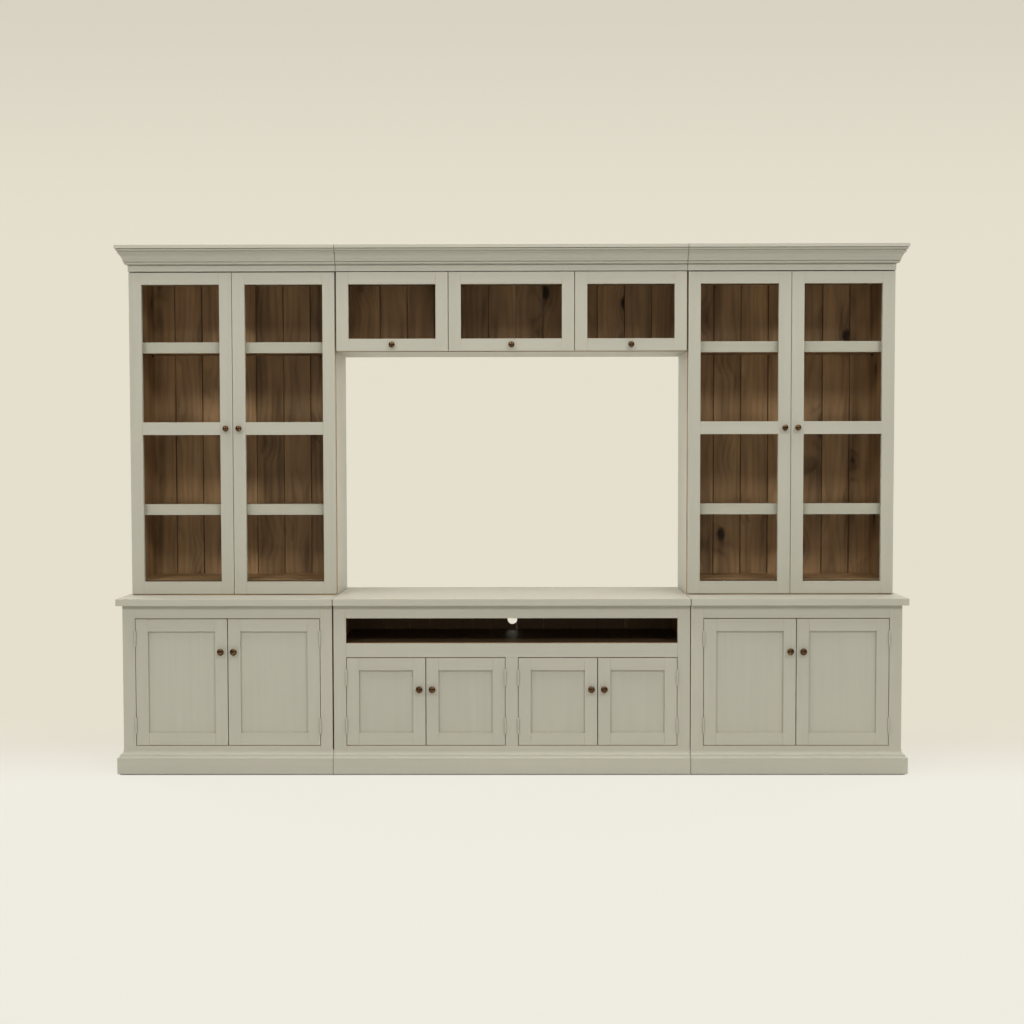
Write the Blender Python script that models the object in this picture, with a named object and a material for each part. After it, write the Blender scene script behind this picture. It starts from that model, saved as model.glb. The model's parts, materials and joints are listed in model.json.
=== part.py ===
"""Painted media wall unit: three base cabinets, two glazed hutches and a glazed bridge.

The frame stands on the floor at Z = 0, centred on X, with the wall behind it at +Y.
All sizes are in metres.
"""
import math

import bmesh
import bpy
from mathutils import Matrix, Vector

# Overall sizes
CENTRE_WIDTH = 1.411        # between the two planes where the cabinets are joined
WING_WIDTH = 0.833          # from a joint plane to the outer side
UNIT_HEIGHT = 2.100
BASE_HEIGHT = 0.6965        # floor to the top of the worktops
WORKTOP_DEPTH = 0.497
HUTCH_DEPTH = 0.335         # wall to the front of the glazed doors
BRIDGE_HEIGHT = 0.321       # carcass of the bridge, underside to top

# Boards
BOARD = 0.020               # carcass sides, tops, bottoms and shelves
FRAME_THICKNESS = 0.022
BACK_THICKNESS = 0.012
WORKTOP_THICKNESS = 0.027
WORKTOP_OVERHANG = 0.0215   # past the face frame and past the outer side
WORKTOP_EASE = 0.002
STRETCHER_DEPTH = 0.070     # rail under the back of a worktop

# Face frame of the base cabinets
FRAME_STILE = 0.0495
FRAME_TOP_RAIL = 0.0512
SLOT_HEIGHT = 0.0988        # open media slot under the centre worktop
SLOT_RAIL = 0.056           # rail between the slot and the doors below it
SILL_HEIGHT = 0.1118        # floor to the bottom of the door openings
MULLION = 0.0495
CABLE_HOLE_RADIUS = 0.029
CABLE_HOLE_HEIGHT = 0.0405  # above the floor of the media slot
CUPBOARD_SHELF_HEIGHT = 0.225   # above the sill, in the wings
CUPBOARD_SHELF_SETBACK = 0.060  # behind the face frame

# Inset doors of the base cabinets
DOOR_THICKNESS = 0.020
DOOR_STILE = 0.049
DOOR_GAP = 0.002
PANEL_RECESS = 0.008        # panel behind the front of its door
PANEL_THICKNESS = 0.007

# Butt hinges of the inset doors
HINGE_LENGTH = 0.064
HINGE_INSET = 0.0455        # from the end of the door to the end of the hinge
PIN_RADIUS = 0.0023
KNUCKLE_WALL = 0.0016
KNUCKLES = 5
LEAF_BITE = 0.0015          # depth to which a leaf is let into its door or stile

# Glazed doors and flaps
GLAZED_STILE = 0.050
GLAZED_RAIL = 0.049
BAR_HEIGHT = 0.051          # bar across the glazed doors
BAR_CENTRE = 0.673          # above the worktop
GLASS_THICKNESS = 0.004
GLASS_FRONT = 0.009         # front of the door to the groove that holds the glass
GLASS_BITE = 0.008          # depth of that groove
DOOR_FOOT = 0.005           # hutch doors stand this far above the worktop
DOOR_HEAD = 0.003           # gap under the cornice
DOOR_REVEAL = 0.002         # doors and flaps stop this far inside their carcass
FLAP_FOOT = 0.0025          # flaps stop this far above the underside of the bridge
CENTRE_BAY = 0.507          # middle flap of the bridge, between gap centres

# Inside of the hutches
HUTCH_FLOOR = 0.060         # worktop to the top of the bottom board
LOWER_SHELF_HEIGHT = 0.3235  # worktop to the bottom of the lip
UPPER_SHELF_HEIGHT = 0.9775
SHELF_LIP_HEIGHT = 0.044
SHELF_LIP_DEPTH = 0.018
SHELF_THICKNESS = 0.028
SHELF_DROP = 0.006          # top of a shelf below the top of its lip
SHELF_SETBACK = 0.012
PEG_RADIUS = 0.003
PEG_LENGTH = 0.010
PEG_INSET = 0.045           # from the front and back of a shelf

# Tongue-and-groove back boards
BOARD_PITCH = 0.115
FIRST_BOARD = 0.128
GROOVE_WIDTH = 0.006
GROOVE_DEPTH = 0.003

# Plinth moulding
PLINTH_HEIGHT = 0.0975
PLINTH_FACE = 0.066         # flat face below the moulding
PLINTH_PROJECTION = 0.0212
PLINTH_LIFT = 0.003         # the plinth clears the floor

# Cornice moulding, as outward steps from the frieze and heights from its foot
CORNICE_HEIGHT = 0.1015
CORNICE_PROJECTION = 0.0435
CORNICE_WALL = 0.022
FRIEZE_PROUD = 0.002        # frieze in front of the doors
FRIEZE_HEIGHT = 0.0195
BEAD_STEP = 0.003
BEAD_PROJECTION = 0.0135
BEAD_HEIGHT = 0.016
FILLET_STEP = 0.0025        # small fillets above the bead and above the cove
FILLET_HEIGHT = 0.006
CORONA_HEIGHT = 0.0125      # flat band along the top
DUST_PANEL = 0.009
DUST_PANEL_DROP = 0.020     # dust panel below the top of the cornice

# Turned knobs
KNOB_DIAMETER = 0.028
UPPER_KNOB_DIAMETER = 0.0255
KNOB_LENGTH = 0.025
KNOB_FOOT_RADIUS = 0.0085
KNOB_FOOT_HEIGHT = 0.0025
KNOB_NECK_RADIUS = 0.0052
KNOB_NECK_HEIGHT = 0.0085   # foot to the start of the head
WING_KNOB_DROP = 0.1295     # top of a wing door to its knob
CENTRE_KNOB_DROP = 0.124

# Clearances
SEAT_GAP = 0.0003           # between pieces that rest on each other
JOINT_GAP = 0.0006          # between neighbouring worktops, plinths and cornices
CARCASS_GAP = 0.003         # shadow line between neighbouring carcasses
EMBED = 0.005               # depth of a glued joint between two boards

# Facets of round forms
KNOB_SEGMENTS = 14
HINGE_SEGMENTS = 8
HOLE_SEGMENTS = 24
PEG_SEGMENTS = 8
CURVE_STEPS = 5
MERGE = 1e-6
FLAT_ANGLE = math.radians(0.5)
SMOOTH_ANGLE = math.radians(40)

# Places worked out from the sizes above
JOINT_X = CENTRE_WIDTH / 2
OUTER_X = JOINT_X + WING_WIDTH
WING_INNER_X = JOINT_X + CARCASS_GAP / 2
CENTRE_SIDE_X = JOINT_X - CARCASS_GAP / 2
BASE_DEPTH = WORKTOP_DEPTH - WORKTOP_OVERHANG
FRONT_REACH = max(WORKTOP_OVERHANG, PLINTH_PROJECTION + SEAT_GAP, KNOB_LENGTH + SEAT_GAP)
BACK_Y = (BASE_DEPTH + FRONT_REACH) / 2
BASE_FACE_Y = BACK_Y - BASE_DEPTH
FRAME_BACK_Y = BASE_FACE_Y + FRAME_THICKNESS
INNER_BACK_Y = BACK_Y - BACK_THICKNESS
HUTCH_FACE_Y = BACK_Y - HUTCH_DEPTH
CARCASS_FRONT_Y = HUTCH_FACE_Y + DOOR_THICKNESS + SEAT_GAP
BASE_TOP = BASE_HEIGHT - WORKTOP_THICKNESS - SEAT_GAP
OPENING_TOP = BASE_TOP - FRAME_TOP_RAIL
SLOT_FLOOR = OPENING_TOP - SLOT_HEIGHT
CENTRE_DOOR_TOP = SLOT_FLOOR - SLOT_RAIL
HUTCH_FOOT = BASE_HEIGHT + SEAT_GAP
CORNICE_FOOT = UNIT_HEIGHT - CORNICE_HEIGHT
HUTCH_TOP = CORNICE_FOOT - SEAT_GAP
DOOR_TOP = CORNICE_FOOT - DOOR_HEAD
BRIDGE_FOOT = HUTCH_TOP - BRIDGE_HEIGHT
BRIDGE_SIDE_X = WING_INNER_X - SEAT_GAP
HINGE_BORE = PIN_RADIUS + SEAT_GAP
HINGE_RADIUS = HINGE_BORE + KNUCKLE_WALL
HINGE_Y = BASE_FACE_Y - HINGE_RADIUS - SEAT_GAP
SHELF_HEIGHTS = {"lower": LOWER_SHELF_HEIGHT, "upper": UPPER_SHELF_HEIGHT}
SIDES = {"left": -1, "right": 1}

# Finishes: base colour, roughness, metallic
PAINT = ((0.43, 0.41, 0.33), 0.5, 0.0)
PINE = ((0.13, 0.075, 0.038), 0.55, 0.0)
GLASS = ((0.80, 0.84, 0.80), 0.04, 0.0)
BRONZE = ((0.085, 0.042, 0.020), 0.35, 0.85)


def clear_scene():
    """Remove every object that is in the file."""
    for obj in list(bpy.data.objects):
        bpy.data.objects.remove(obj)


def make_material(name, finish):
    """Return a material of its own for one piece."""
    colour, roughness, metallic = finish
    material = bpy.data.materials.new(name)
    material.use_nodes = True
    shader = material.node_tree.nodes["Principled BSDF"]
    shader.inputs["Base Color"].default_value = (*colour, 1.0)
    shader.inputs["Roughness"].default_value = roughness
    shader.inputs["Metallic"].default_value = metallic
    return material


def make_piece(name, bm, finish, pivot=None):
    """Turn a bmesh into a named object, on its pivot where it moves."""
    if pivot:
        bmesh.ops.translate(bm, vec=-pivot.location, verts=bm.verts)
    bmesh.ops.recalc_face_normals(bm, faces=bm.faces)
    mesh = bpy.data.meshes.new(name)
    bm.to_mesh(mesh)
    bm.free()
    mesh.materials.append(make_material(name, finish))
    mesh.shade_smooth()
    mesh.set_sharp_from_angle(angle=SMOOTH_ANGLE)
    piece = bpy.data.objects.new(name, mesh)
    bpy.context.scene.collection.objects.link(piece)
    piece.parent = pivot
    return piece


def make_pivot(name, place):
    """Put an empty on a joint's axis."""
    pivot = bpy.data.objects.new(name, None)
    pivot.location = place
    bpy.context.scene.collection.objects.link(pivot)
    return pivot


def span(side, near, far):
    """Return the X range between two distances from the middle, on one side."""
    return tuple(sorted((side * near, side * far)))


def slab(xs, ys, zs):
    """Return one rectangular board."""
    low, high = (Vector(corner) for corner in zip(xs, ys, zs))
    bm = bmesh.new()
    bmesh.ops.create_cube(bm, size=1.0)
    bmesh.ops.scale(bm, vec=high - low, verts=bm.verts)
    bmesh.ops.translate(bm, vec=(low + high) / 2, verts=bm.verts)
    return bm


def prism(outline, zs):
    """Return an upright prism on a plan outline."""
    bm = bmesh.new()
    foot = bm.faces.new([bm.verts.new((x, y, zs[0])) for x, y in outline])
    grown = bmesh.ops.extrude_face_region(bm, geom=[foot])["geom"]
    top = [item for item in grown if isinstance(item, bmesh.types.BMVert)]
    bmesh.ops.translate(bm, vec=(0, 0, zs[1] - zs[0]), verts=top)
    bmesh.ops.recalc_face_normals(bm, faces=bm.faces)
    return bm


def turned(profile, segments, place):
    """Return a turned form: (radius, height) points spun about Z, then placed."""
    bm = bmesh.new()
    points = [bm.verts.new((radius, 0, height)) for radius, height in profile]
    edges = [bm.edges.new(pair) for pair in zip(points, points[1:])]
    bmesh.ops.spin(bm, geom=points + edges, cent=(0, 0, 0), axis=(0, 0, 1),
                   angle=2 * math.pi, steps=segments, use_merge=True)
    bmesh.ops.remove_doubles(bm, verts=bm.verts, dist=MERGE)
    bmesh.ops.recalc_face_normals(bm, faces=bm.faces)
    bmesh.ops.transform(bm, matrix=place, verts=bm.verts)
    return bm


def rod(radius, length, segments, place):
    """Return a round rod that starts at its place and runs along local Z."""
    return turned([(0, 0), (radius, 0), (radius, length), (0, length)], segments, place)


def sleeve(bore, radius, length, segments, place):
    """Return a round sleeve that starts at its place and runs along local Z."""
    section = [(bore, 0), (radius, 0), (radius, length), (bore, length), (bore, 0)]
    return turned(section, segments, place)


def moulding(profile, path):
    """Sweep a closed (step, height) profile along mitred stations (x, y, dx, dy)."""
    bm = bmesh.new()
    rings = []
    for x, y, dx, dy in path:
        rings.append([bm.verts.new((x + step * dx, y + step * dy, z)) for step, z in profile])
    for ring, following in zip(rings, rings[1:]):
        for index in range(len(profile)):
            after = (index + 1) % len(profile)
            bm.faces.new((ring[index], ring[after], following[after], following[index]))
    bm.faces.new(rings[0])
    bm.faces.new(rings[-1])
    bmesh.ops.recalc_face_normals(bm, faces=bm.faces)
    return bm


def workpiece(bm):
    """Link a bmesh into the scene for the length of a joint or a cut."""
    mesh = bpy.data.meshes.new("workpiece")
    bm.to_mesh(mesh)
    bm.free()
    piece = bpy.data.objects.new("workpiece", mesh)
    bpy.context.scene.collection.objects.link(piece)
    return piece


def fuse(bodies, cuts=()):
    """Join overlapping bodies into one, then take the cuts out of it."""
    piece, *others = [workpiece(body) for body in bodies]
    tools = [(tool, "UNION") for tool in others]
    tools += [(workpiece(cut), "DIFFERENCE") for cut in cuts]
    for tool, operation in tools:
        modifier = piece.modifiers.new(operation, "BOOLEAN")
        modifier.operation = operation
        modifier.object = tool
    evaluated = piece.evaluated_get(bpy.context.evaluated_depsgraph_get())
    bm = bmesh.new()
    bm.from_mesh(evaluated.to_mesh())
    for used in [piece] + [tool for tool, operation in tools]:
        bpy.data.objects.remove(used)
    bmesh.ops.remove_doubles(bm, verts=bm.verts, dist=MERGE)
    bmesh.ops.dissolve_limit(bm, angle_limit=FLAT_ANGLE, verts=bm.verts, edges=bm.edges)
    return bm


def groove_places(side, near, far):
    """Return the X of each board joint between two distances from the middle."""
    places = []
    distance = near + FIRST_BOARD
    while distance < far - GROOVE_WIDTH:
        places.append(side * distance)
        distance += BOARD_PITCH
    return sorted(places)


def boarded_back(xs, grooves, zs):
    """Return a panel of upright tongue-and-groove boards with a V at each joint."""
    low, high = xs
    half = GROOVE_WIDTH / 2
    outline = [(low, INNER_BACK_Y)]
    for x in grooves:
        outline += [(x - half, INNER_BACK_Y), (x, INNER_BACK_Y + GROOVE_DEPTH), (x + half, INNER_BACK_Y)]
    outline += [(high, INNER_BACK_Y), (high, BACK_Y), (low, BACK_Y)]
    return prism(outline, zs)


def hinge_heights(zs):
    """Return the foot of both hinges on a door."""
    return zs[0] + HINGE_INSET, zs[1] - HINGE_INSET - HINGE_LENGTH


def knuckle_spans(foot):
    """Return the height range of each knuckle, with running clearance between them."""
    pitch = HINGE_LENGTH / KNUCKLES
    half = SEAT_GAP / 2
    return [(foot + k * pitch + half, foot + (k + 1) * pitch - half) for k in range(KNUCKLES)]


def hinge_leaf(x, toward, zs):
    """Return the leaf between a knuckle and its door or stile, tangent to the barrel, clear of its bore."""
    tangent = HINGE_RADIUS * math.cos(math.pi / HINGE_SEGMENTS)
    xs = sorted((x + toward * (HINGE_BORE + SEAT_GAP), x + toward * tangent))
    return slab(xs, (HINGE_Y, BASE_FACE_Y + LEAF_BITE), (zs[0] + SEAT_GAP, zs[1] - SEAT_GAP))


def frame_hinge(x, toward, foot):
    """Return the fixed half of a butt hinge: pin, odd knuckles and their leaves."""
    profile = [(0, 0)]
    leaves = []
    for index, (low, high) in enumerate(knuckle_spans(foot)):
        fixed = index % 2 == 0
        radius = HINGE_RADIUS if fixed else PIN_RADIUS
        if fixed:
            profile += [(radius, low - foot), (radius, high - foot)]
            leaves.append(hinge_leaf(x, toward, (low, high)))
        else:
            profile += [(radius, profile[-1][1]), (radius, high - foot + SEAT_GAP)]
    profile[0] = (0, profile[1][1])
    profile.append((0, profile[-1][1]))
    barrel = turned(profile, HINGE_SEGMENTS, Matrix.Translation((x, HINGE_Y, foot)))
    return [barrel] + leaves


def door_hinge(x, toward, foot):
    """Return the moving half of a butt hinge: bored even knuckles and their leaves."""
    bodies = []
    for low, high in knuckle_spans(foot)[1::2]:
        place = Matrix.Translation((x, HINGE_Y, low))
        bodies.append(sleeve(HINGE_BORE, HINGE_RADIUS, high - low, HINGE_SEGMENTS, place))
        bodies.append(hinge_leaf(x, toward, (low, high)))
    return bodies


def door_pairs():
    """Return (name, X range, Z range, hinge side, knob drop) for each inset door."""
    doors = []
    for word, side in SIDES.items():
        xs = span(side, WING_INNER_X + FRAME_STILE, OUTER_X - FRAME_STILE)
        names = (f"base_{word}_door_l", f"base_{word}_door_r")
        doors += split_opening(names, xs, (SILL_HEIGHT, OPENING_TOP), WING_KNOB_DROP)
    for first, side in ((1, -1), (3, 1)):
        xs = span(side, MULLION / 2, CENTRE_SIDE_X - FRAME_STILE)
        names = (f"base_centre_door_{first}", f"base_centre_door_{first + 1}")
        doors += split_opening(names, xs, (SILL_HEIGHT, CENTRE_DOOR_TOP), CENTRE_KNOB_DROP)
    return doors


def split_opening(names, xs, zs, knob_drop):
    """Share one opening between two doors hung on its outer edges."""
    middle = sum(xs) / 2
    door_zs = (zs[0] + DOOR_GAP, zs[1] - DOOR_GAP)
    left = (names[0], (xs[0] + DOOR_GAP, middle - DOOR_GAP / 2), door_zs, -1, knob_drop)
    right = (names[1], (middle + DOOR_GAP / 2, xs[1] - DOOR_GAP), door_zs, 1, knob_drop)
    return [left, right]


def hinge_x(xs, hand):
    """Return the X of a hinge axis: the middle of the gap on the hung edge."""
    edge = xs[0] if hand < 0 else xs[1]
    return edge + hand * DOOR_GAP / 2


def make_knob(name, diameter, place, pivot):
    """Make one turned knob: a foot, a waisted neck and a domed head."""
    profile = [(0, 0), (KNOB_FOOT_RADIUS, 0), (KNOB_FOOT_RADIUS, KNOB_FOOT_HEIGHT)]
    head_foot = KNOB_FOOT_HEIGHT + KNOB_NECK_HEIGHT
    profile += [(KNOB_NECK_RADIUS, KNOB_FOOT_HEIGHT + KNOB_NECK_HEIGHT / 4), (KNOB_NECK_RADIUS, head_foot)]
    rise = (KNOB_LENGTH - head_foot) / 2
    start = math.asin(KNOB_NECK_RADIUS / (diameter / 2))
    for step in range(1, CURVE_STEPS + 2):
        angle = start + (math.pi - start) * step / (CURVE_STEPS + 1)
        profile.append((diameter / 2 * math.sin(angle), head_foot + rise * (1 - math.cos(angle))))
    profile[-1] = (0, KNOB_LENGTH)
    x, y, z = place
    stand = Matrix.Translation((x, y - SEAT_GAP, z)) @ Matrix.Rotation(math.pi / 2, 4, "X")
    make_piece(name, turned(profile, KNOB_SEGMENTS, stand), BRONZE, pivot)


def make_base_doors():
    """Make the inset framed doors, each with its hinge knuckles, and their knobs."""
    for name, xs, zs, hand, knob_drop in door_pairs():
        axis_x = hinge_x(xs, hand)
        pivot = make_pivot(f"{name}_axis", (axis_x, HINGE_Y, zs[0]))
        bodies = [slab(xs, (BASE_FACE_Y, BASE_FACE_Y + DOOR_THICKNESS), zs)]
        panel_xs = (xs[0] + DOOR_STILE, xs[1] - DOOR_STILE)
        panel_zs = (zs[0] + DOOR_STILE, zs[1] - DOOR_STILE)
        panel_front = BASE_FACE_Y + PANEL_RECESS
        cuts = [
            slab(panel_xs, (BASE_FACE_Y - EMBED, panel_front), panel_zs),
            slab(panel_xs, (panel_front + PANEL_THICKNESS, FRAME_BACK_Y + EMBED), panel_zs),
        ]
        for foot in hinge_heights(zs):
            bodies += door_hinge(axis_x, -hand, foot)
        make_piece(name, fuse(bodies, cuts), PAINT, pivot)
        free_edge = xs[0] if hand > 0 else xs[1]
        knob_place = (free_edge + hand * DOOR_STILE / 2, BASE_FACE_Y, zs[1] - knob_drop)
        make_knob(f"{name}_knob", KNOB_DIAMETER, knob_place, pivot)


def frame_hinges(prefix):
    """Return the fixed hinge halves that belong to one base cabinet."""
    bodies = []
    for name, xs, zs, hand, knob_drop in door_pairs():
        if name.startswith(prefix):
            for foot in hinge_heights(zs):
                bodies += frame_hinge(hinge_x(xs, hand), hand, foot)
    return bodies


def base_shell(xs):
    """Return the boards that every base cabinet has: sides, stiles, rails and bottom."""
    low, high = xs
    side_ys = (FRAME_BACK_Y - EMBED, BACK_Y)
    frame_ys = (BASE_FACE_Y, FRAME_BACK_Y)
    whole = (0, BASE_TOP)
    rail_xs = (low + FRAME_STILE - EMBED, high - FRAME_STILE + EMBED)
    inner_xs = (low + BOARD - EMBED, high - BOARD + EMBED)
    stretcher_ys = (INNER_BACK_Y - STRETCHER_DEPTH, INNER_BACK_Y - SEAT_GAP)
    return [
        slab((low, low + BOARD), side_ys, whole),
        slab((high - BOARD, high), side_ys, whole),
        slab((low, low + FRAME_STILE), frame_ys, whole),
        slab((high - FRAME_STILE, high), frame_ys, whole),
        slab(rail_xs, frame_ys, (0, SILL_HEIGHT)),
        slab(rail_xs, frame_ys, (OPENING_TOP, BASE_TOP)),
        slab(inner_xs, (FRAME_BACK_Y - EMBED, INNER_BACK_Y - SEAT_GAP), (SILL_HEIGHT - BOARD, SILL_HEIGHT)),
        slab(inner_xs, stretcher_ys, (BASE_TOP - BOARD, BASE_TOP)),
    ]


def make_wing_bases():
    """Make the carcasses of the two wing cabinets, with their boarded backs."""
    for word, side in SIDES.items():
        bodies = base_shell(span(side, WING_INNER_X, OUTER_X))
        near, far = WING_INNER_X + BOARD, OUTER_X - BOARD
        inner = span(side, near - EMBED, far + EMBED)
        back_zs = (SILL_HEIGHT - BOARD, BASE_TOP)
        bodies.append(boarded_back(inner, groove_places(side, near, far), back_zs))
        shelf_ys = (FRAME_BACK_Y + CUPBOARD_SHELF_SETBACK, INNER_BACK_Y + EMBED)
        shelf_top = SILL_HEIGHT + CUPBOARD_SHELF_HEIGHT
        bodies.append(slab(inner, shelf_ys, (shelf_top - BOARD, shelf_top)))
        tenon_ys = (INNER_BACK_Y - EMBED, INNER_BACK_Y + EMBED)
        bodies.append(slab(inner, tenon_ys, (SILL_HEIGHT - BOARD, SILL_HEIGHT)))
        make_piece(f"base_{word}_carcass", fuse(bodies + frame_hinges(f"base_{word}")), PAINT)


def make_centre_base():
    """Make the centre cabinet: media slot, divider, and a back with its cable hole."""
    inner_x = CENTRE_SIDE_X - BOARD
    frame_ys = (BASE_FACE_Y, FRAME_BACK_Y)
    floor_ys = (FRAME_BACK_Y - EMBED, INNER_BACK_Y - SEAT_GAP)
    floor_zs = (SLOT_FLOOR - BOARD, SLOT_FLOOR)
    rail_x = CENTRE_SIDE_X - FRAME_STILE + EMBED
    bodies = base_shell((-CENTRE_SIDE_X, CENTRE_SIDE_X))
    bodies += [
        slab((-rail_x, rail_x), frame_ys, (CENTRE_DOOR_TOP, SLOT_FLOOR)),
        slab((-MULLION / 2, MULLION / 2), frame_ys, (SILL_HEIGHT - EMBED, CENTRE_DOOR_TOP + EMBED)),
        slab((-inner_x - EMBED, inner_x + EMBED), floor_ys, floor_zs),
        slab((-BOARD / 2, BOARD / 2), floor_ys, (SILL_HEIGHT - EMBED, SLOT_FLOOR - EMBED)),
    ]
    make_piece("base_centre_carcass", fuse(bodies + frame_hinges("base_centre")), PAINT)
    panel_x = inner_x - SEAT_GAP
    panel_zs = (SILL_HEIGHT - BOARD, BASE_TOP)
    panel = boarded_back((-panel_x, panel_x), groove_places(1, -inner_x, inner_x), panel_zs)
    hole_place = Matrix.Translation((0, BACK_Y + EMBED, SLOT_FLOOR + CABLE_HOLE_HEIGHT))
    hole = rod(CABLE_HOLE_RADIUS, BACK_THICKNESS + 2 * EMBED, HOLE_SEGMENTS,
               hole_place @ Matrix.Rotation(math.pi / 2, 4, "X"))
    make_piece("base_centre_back", fuse([panel], [hole]), PINE)


def make_worktops():
    """Make the three worktops with eased edges."""
    joint = JOINT_GAP / 2
    runs = {word: span(side, JOINT_X + joint, OUTER_X + WORKTOP_OVERHANG) for word, side in SIDES.items()}
    runs["centre"] = (joint - JOINT_X, JOINT_X - joint)
    for word, xs in runs.items():
        bm = slab(xs, (BACK_Y - WORKTOP_DEPTH, BACK_Y), (BASE_HEIGHT - WORKTOP_THICKNESS, BASE_HEIGHT))
        bmesh.ops.bevel(bm, geom=bm.edges, offset=WORKTOP_EASE, segments=2, profile=0.5, affect="EDGES")
        make_piece(f"base_{word}_worktop", bm, PAINT)


def quarter(start, end, hollow):
    """Return a quarter curve between two profile points, hollow or swelling."""
    (step_a, height_a), (step_b, height_b) = start, end
    points = []
    for index in range(CURVE_STEPS + 1):
        angle = math.pi / 2 * index / CURVE_STEPS
        across, along = math.sin(angle), 1 - math.cos(angle)
        if hollow:
            across, along = 1 - math.cos(angle), math.sin(angle)
        points.append((step_a + (step_b - step_a) * across, height_a + (height_b - height_a) * along))
    return points


def plinth_profile():
    """Return the plinth's closed profile: a flat face under two stacked ovolos."""
    rise = (PLINTH_HEIGHT - PLINTH_FACE) / 2
    tread = PLINTH_PROJECTION / 2
    fillet = tread / 4
    outline = [(0, PLINTH_LIFT), (PLINTH_PROJECTION, PLINTH_LIFT), (PLINTH_PROJECTION, PLINTH_FACE)]
    for index in range(2):
        foot = (PLINTH_PROJECTION - index * tread, PLINTH_FACE + index * rise)
        head = (foot[0] - tread + fillet, foot[1] + rise)
        outline += quarter(foot, head, True)[1:]
        outline.append((foot[0] - tread, head[1]))
    return outline


def make_plinths():
    """Make the moulded plinths: mitred round the ends of the wings, straight in the centre."""
    profile = plinth_profile()
    front = BASE_FACE_Y - SEAT_GAP
    joint = JOINT_GAP / 2
    for word, side in SIDES.items():
        end = side * (OUTER_X + SEAT_GAP)
        start = side * (JOINT_X + joint)
        path = [(start, front, 0, -1), (end, front, side, -1), (end, BACK_Y, side, 0)]
        make_piece(f"base_{word}_plinth", moulding(profile, path), PAINT)
    path = [(joint - JOINT_X, front, 0, -1), (JOINT_X - joint, front, 0, -1)]
    make_piece("base_centre_plinth", moulding(profile, path), PAINT)


def cornice_profile():
    """Return the cornice's closed profile: frieze, bead, fillet, cove, fillet and corona."""
    foot = CORNICE_FOOT
    bead_foot = foot + FRIEZE_HEIGHT
    bead_head = bead_foot + BEAD_HEIGHT
    cove_foot = bead_head + FILLET_HEIGHT
    corona_foot = UNIT_HEIGHT - CORONA_HEIGHT
    cove_head = corona_foot - FILLET_HEIGHT / 2
    lower_step = BEAD_PROJECTION + FILLET_STEP
    upper_step = CORNICE_PROJECTION - FILLET_STEP
    outline = [(-CORNICE_WALL, foot), (0, foot), (0, bead_foot)]
    outline += quarter((BEAD_STEP, bead_foot), (BEAD_PROJECTION, bead_head), False)
    outline += [(lower_step, bead_head), (lower_step, cove_foot)]
    outline += shallow_cove((lower_step, cove_foot), (upper_step, cove_head))[1:]
    outline += [(upper_step, corona_foot), (CORNICE_PROJECTION, corona_foot)]
    outline += [(CORNICE_PROJECTION, UNIT_HEIGHT), (-CORNICE_WALL, UNIT_HEIGHT)]
    return outline


def shallow_cove(start, end):
    """Return a hollow halfway between a straight slope and a full quarter cove."""
    points = []
    for index, (step, height) in enumerate(quarter(start, end, True)):
        share = index / CURVE_STEPS
        slope = (start[0] + (end[0] - start[0]) * share, start[1] + (end[1] - start[1]) * share)
        points.append(((step + slope[0]) / 2, (height + slope[1]) / 2))
    return points


def cornice_box(xs, front, moulded):
    """Close a cornice moulding into a box: ends, back rail and a sunk dust panel."""
    low, high = xs
    whole = (CORNICE_FOOT, UNIT_HEIGHT)
    inner_ys = (front + CORNICE_WALL - EMBED, BACK_Y)
    panel_top = UNIT_HEIGHT - DUST_PANEL_DROP
    panel_ys = (front + CORNICE_WALL - EMBED, BACK_Y - BOARD + EMBED)
    panel_xs = (low + BOARD - EMBED, high - BOARD + EMBED)
    return fuse([
        moulded,
        slab((low, low + BOARD), inner_ys, whole),
        slab((high - BOARD, high), inner_ys, whole),
        slab(xs, (BACK_Y - BOARD, BACK_Y), whole),
        slab(panel_xs, panel_ys, (panel_top - DUST_PANEL, panel_top)),
    ])


def make_cornices():
    """Make the three cornice boxes: mitred returns on the hutches, straight on the bridge."""
    profile = cornice_profile()
    front = HUTCH_FACE_Y - FRIEZE_PROUD
    joint = JOINT_GAP / 2
    for word, side in SIDES.items():
        start = side * (JOINT_X + joint)
        end = side * OUTER_X
        path = [(start, front, 0, -1), (end, front, side, -1), (end, BACK_Y, side, 0)]
        box = cornice_box(tuple(sorted((start, end))), front, moulding(profile, path))
        make_piece(f"hutch_{word}_cornice", box, PAINT)
    run = JOINT_X - joint
    path = [(-run, front, 0, -1), (run, front, 0, -1)]
    make_piece("bridge_cornice", cornice_box((-run, run), front, moulding(profile, path)), PAINT)


def shelf_pegs(side, lip_foot):
    """Return the four pegs that carry one loose shelf."""
    peg_z = lip_foot + SHELF_LIP_HEIGHT - SHELF_DROP - SHELF_THICKNESS - SEAT_GAP - PEG_RADIUS
    front = CARCASS_FRONT_Y + SHELF_SETBACK + SHELF_LIP_DEPTH + PEG_INSET
    bodies = []
    for y in (front, INNER_BACK_Y - PEG_INSET):
        for wall, inward in ((WING_INNER_X + BOARD, side), (OUTER_X - BOARD, -side)):
            place = Matrix.Translation((side * wall - inward * EMBED, y, peg_z))
            turn = Matrix.Rotation(inward * math.pi / 2, 4, "Y")
            bodies.append(rod(PEG_RADIUS, PEG_LENGTH + EMBED, PEG_SEGMENTS, place @ turn))
    return bodies


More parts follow.
